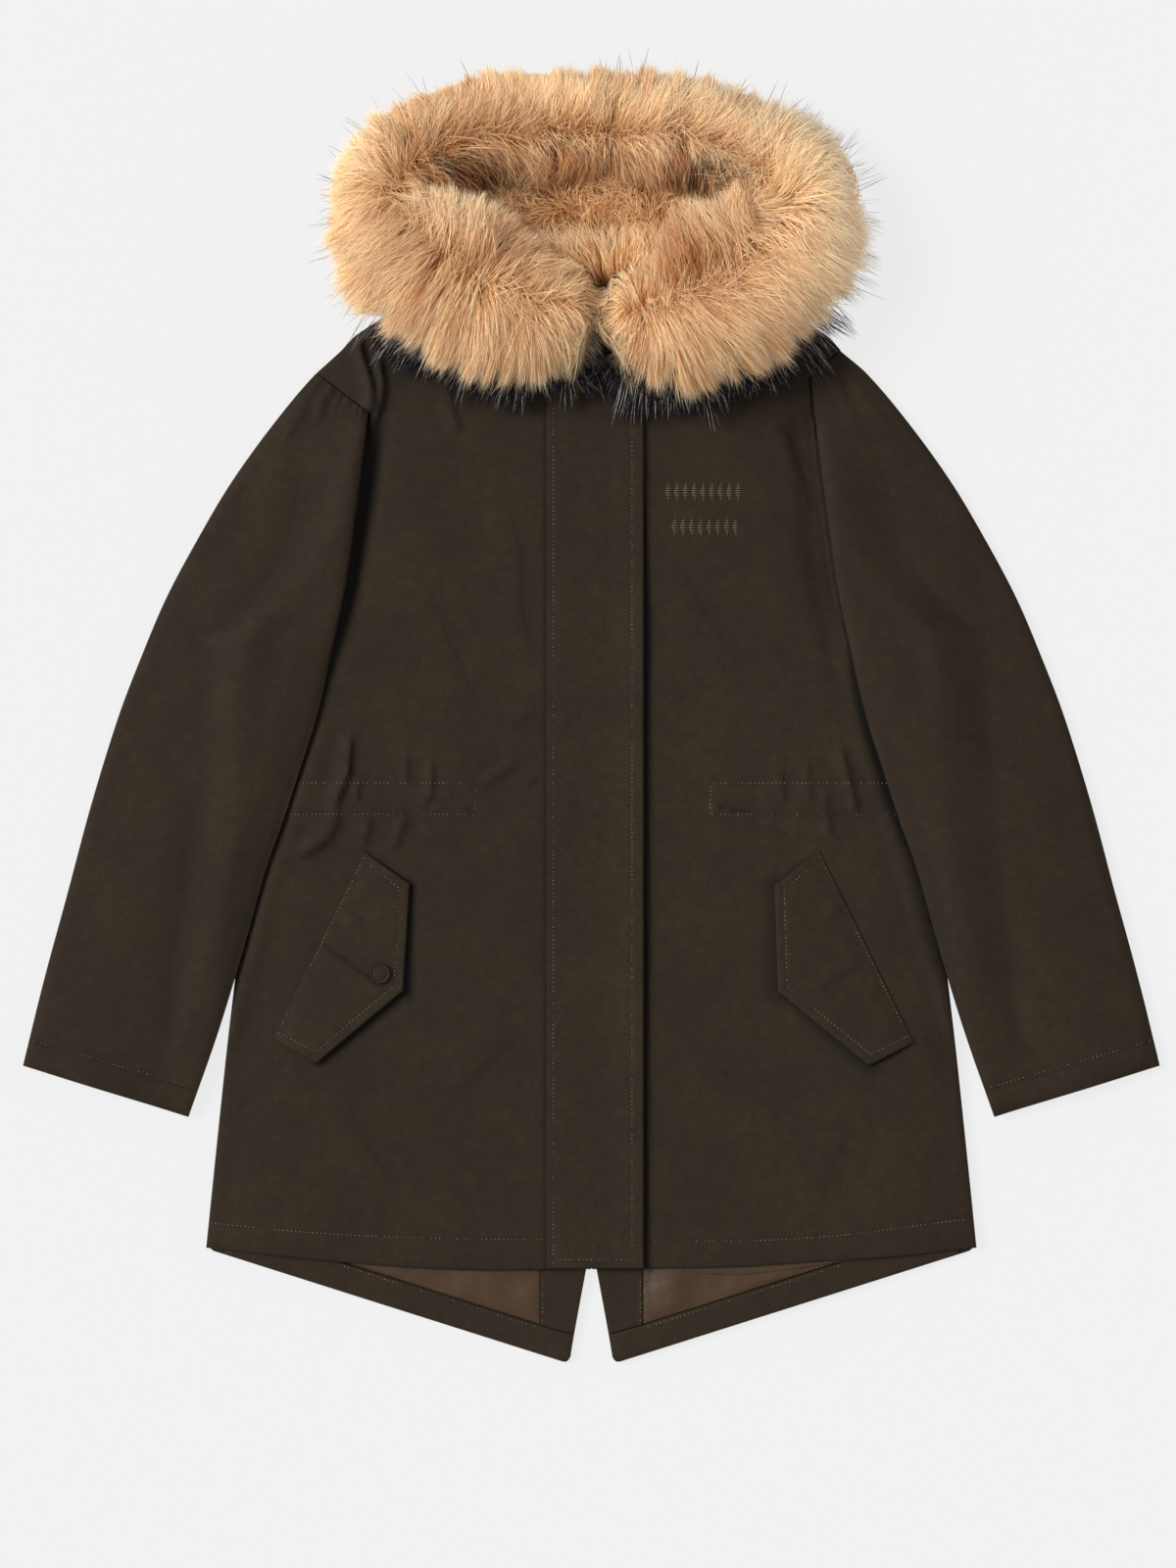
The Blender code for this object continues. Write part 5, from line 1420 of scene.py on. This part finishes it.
def hanging_hairs(name, seed, count):
    """Hairs from the roll's back, each ending on or a little above the surface."""
    rng = np.random.default_rng(seed)
    places = np.linspace(0, TRIM_LENGTH, 500)
    behind = places[roll_at(places)[1] > BACK_FROM]
    distance = rng.uniform(behind[0], behind[-1], count)
    centre, tuft = tufted(distance, 8, (0.5, 17), seed, seed + 1, (1024, 3))
    s = np.linspace(0, 1, 5)[None, :]
    lean = (6 * tuft[:, 0] + rng.normal(0, 3, count))[:, None] * s
    lean = lean + (centre - distance)[:, None] * 0.2 * s ** 1.5
    size = 0.7 + (rng.uniform(0.12, 0.27, count) + 0.02 * tuft[:, 2])[:, None] * np.sin(s * 2.0)
    curves = on_roll(distance[:, None] + lean, 90 + 0 * lean, size)
    high, low = rng.uniform(17, 38, count), 0.8 + rng.uniform(0, 6, count) * (0.6 + 0.4 * tuft[:, 1])
    curves[:, :, 2] = high[:, None] + (low - high)[:, None] * s ** 1.2
    own = 0.84 + 0.14 * tuft[:, 1] + rng.normal(0, 0.15, count)
    hair_mesh(name, curves, rng.uniform(0.8, 1.15, count), own, 0.0, rng.normal(0, 0.6, count), FUR, 0.3)


hanging_hairs("fur_trim_back_hair", 141, 2700)

# ------------------------------------------------------------------------- fur trim, dark fringe
# Under the honey pile's front edge lies a fringe of longer hair, dyed near black, with some shafts
# left silver. It ends in pointed tufts on the cloth, and thins out round the sides and the back.

# Dyed in the fibre: a dark root and tip with, on some hairs, a silver shaft between.
FRINGE = fake_fur("dyed_guard_hair", "#2b2423", "#cfc4b8", "#ebe3da", "#19141a", gloss=0.45)
FRINGE_PITCH = 7.5


def fringe(name, seed, count, weight, reach, width, silver):
    """Hairs that leave the roll low on its outer side. weight is how likely each (x, y) keeps one."""
    rng = np.random.default_rng(seed)
    distance = rng.uniform(-14, TRIM_LENGTH + 10, count)
    x, y = roll_at(distance)[:2]
    distance = distance[rng.uniform(0, 1, count) < weight(x, y)]
    x, y, half, crest, run_x, run_y = (column[:, None] for column in roll_at(distance))
    count = len(distance)
    centre, own = tufted(distance, FRINGE_PITCH, (0.4, 11), seed, seed + 1, (1024, 3))
    centre = centre + 0.3 * own[:, 0] * FRINGE_PITCH
    s = np.linspace(0, 1, 5)[None, :]
    share = (0.4 + 0.3 * own[:, 1] + 0.3 * rng.uniform(0, 1, count)) ** 1.5
    length = (reach[0] + (reach[1] - reach[0]) * share)[:, None]
    fan = -15 * (1 - ease(distance / 50)) + 15 * ease((distance - TRIM_LENGTH + 50) / 50)
    lean = fan + 5.0 * own[:, 2] + rng.normal(0, 3.0, count)
    pale = rng.uniform(0, 1, count) < silver
    past = distance - np.clip(distance, 0, TRIM_LENGTH)
    gather = (centre - distance) * np.where(pale, 0.2, 0.55)
    shift = lean[:, None] * s ** 1.3 + gather[:, None] * s ** 1.5 + past[:, None]
    start = half * rng.uniform(0.72, 0.92, count)[:, None]
    across = start + (half + length - start) * s
    low = rng.uniform(13.0, 24.0, count)[:, None]
    middle = ROLL_MIDDLE * crest
    z = middle + 4 * np.sin(s * 2.2) - (middle - low) * s ** 1.3
    curves = np.stack([x - run_y * across + run_x * shift, y + run_x * across + run_y * shift, z], -1)
    dyed = np.where(pale, rng.choice([0.0, 0.75], count), rng.uniform(1.6, 4.0, count))
    widths = np.where(pale, 0.5, 1.0) * rng.uniform(*width, count)
    hair_mesh(name, curves, widths, 1.0, dyed, rng.normal(0, 0.5, count), FRINGE)


def at_front(x, y):
    """Thick where the roll lies on the coat, and nearly none behind."""
    return 0.003 + 0.997 * ease((880 - y) / 22)


def at_sides(x, y):
    """Sparse all round, with more at the wearer's left and a little more at the right."""
    return 0.015 + 0.50 * ease((x - 120) / 30) * ease((y - 850) / 20) + 0.08 * ease((-x - 130) / 20)


fringe("fur_trim_dark_fringe", 301, 12000, at_front, (3.0, 38.0), (0.38, 0.64), 0.17)
fringe("fur_trim_guard_hair", 311, 2600, at_sides, (3.0, 28.0), (0.22, 0.34), 0.2)

# ----------------------------------------------------------------------------- hood lining, pile
# Shorter acrylic pile, crimped by heat, which stands up from the lining's backing in loose curls.
# It is palest along the neck, where it lies on the trim.

LINING_HAIRS = 18500
rng = np.random.default_rng(151)
spot = rng.uniform((-135, 856), (150, 978), (2 * LINING_HAIRS, 2))
ground = mesh_height(lining_base, 0.0)(spot[:, 0], spot[:, 1])
inside = np.flatnonzero(ground > 4)[:LINING_HAIRS]  # those over the backing
spot, ground = spot[inside], ground[inside]
count = len(spot)
spot_x, spot_y = spot.T
at_neck = ease((900 - spot_y) / 20)
turn = math.pi * (0.5 + 1.1 * ripple(spot_x, spot_y, 36, 152))
turn = turn + rng.normal(0, 0.45, count) * (1 - 0.6 * at_neck)
turn = turn * (1 - 0.8 * at_neck) + math.pi / 2 * 0.8 * at_neck + rng.normal(0, 0.15, count)
reach = (rng.uniform(12, 24, count) + 8 * at_neck)[:, None]
s = np.linspace(0, 1, 4)[None, :]
curl = (0.9 * ripple(spot_x, spot_y, 15, 154) + rng.normal(0, 0.4, count)) * (1 - 0.7 * at_neck)
curl = turn[:, None] + curl[:, None] * s
cell = np.floor(spot / 9)
key = (cell[:, 0] * 57 + cell[:, 1] * 91).astype(int) % 1024
centre = (cell + 0.5 + 0.3 * np.random.default_rng(155).uniform(-1, 1, (1024, 2))[key]) * 9
off_x, off_y = (centre - spot).T
pull = 0.5 * s ** 1.4
x = spot_x[:, None] + np.cos(curl) * reach * s + off_x[:, None] * pull
y = spot_y[:, None] + np.sin(curl) * reach * s + off_y[:, None] * pull
rise = rng.uniform(12, 24, count) + 10 * at_neck
z = ground[:, None] + rise[:, None] * np.sin(s * 1.9)
own = 0.70 + 0.32 * ripple(spot_x, spot_y, 20, 153) + rng.normal(0, 0.14, count) + 0.5 * at_neck
tufts = np.random.default_rng(156).uniform(0, 1, 1024)[key]
cream = at_neck * (0.10 + 0.45 * ease((tufts - 0.45) / 0.25))
hair_mesh("hood_lining_pile", np.stack([x, y, z], -1), rng.uniform(0.5, 0.9, count), own, 0.0,
          rng.normal(0, 0.7, count), LINING_PILE, cream)

# ---------------------------------------------------------------------- table, lights and camera
# A pale matt table that glows a little, so that shadows on it stay faint. A broad key from the
# wearer's right side and an even fill.

bpy.ops.mesh.primitive_plane_add(size=8.0, location=(0, 0, -0.0006))
table = bpy.context.object
table.name = "table"
TABLE = new_material("pale_table", Base_Color=(0.06, 0.06, 0.06, 1), Roughness=1.0,
                     Specular_IOR_Level=0.0, Emission_Color=(1, 1, 1, 1), Emission_Strength=0.79)[0]
table.data.materials.append(TABLE)

key_data = bpy.data.lights.new("key", "SUN")
key_data.energy = 4.1
key_data.angle = math.radians(30)
key = bpy.data.objects.new("key", key_data)
key.rotation_euler = (math.radians(-14), math.radians(-48), 0)
bpy.context.scene.collection.objects.link(key)

world = bpy.data.worlds.new("studio")
world.use_nodes = True
world.node_tree.nodes["Background"].inputs["Color"].default_value = (1, 1, 1, 1)
world.node_tree.nodes["Background"].inputs["Strength"].default_value = 0.72
bpy.context.scene.world = world
bpy.context.scene.view_settings.view_transform = "Standard"

CAMERA_HEIGHT, FRAME_HEIGHT = 5.0, 1.256  # metres
camera_data = bpy.data.cameras.new("camera")
camera_data.sensor_width = 36.0
camera_data.lens = 36.0 * CAMERA_HEIGHT / FRAME_HEIGHT
camera_data.clip_end = 50.0
camera = bpy.data.objects.new("camera", camera_data)
camera.location = (-0.0027, -0.0564, CAMERA_HEIGHT + 0.012)
bpy.context.scene.collection.objects.link(camera)
bpy.context.scene.camera = camera
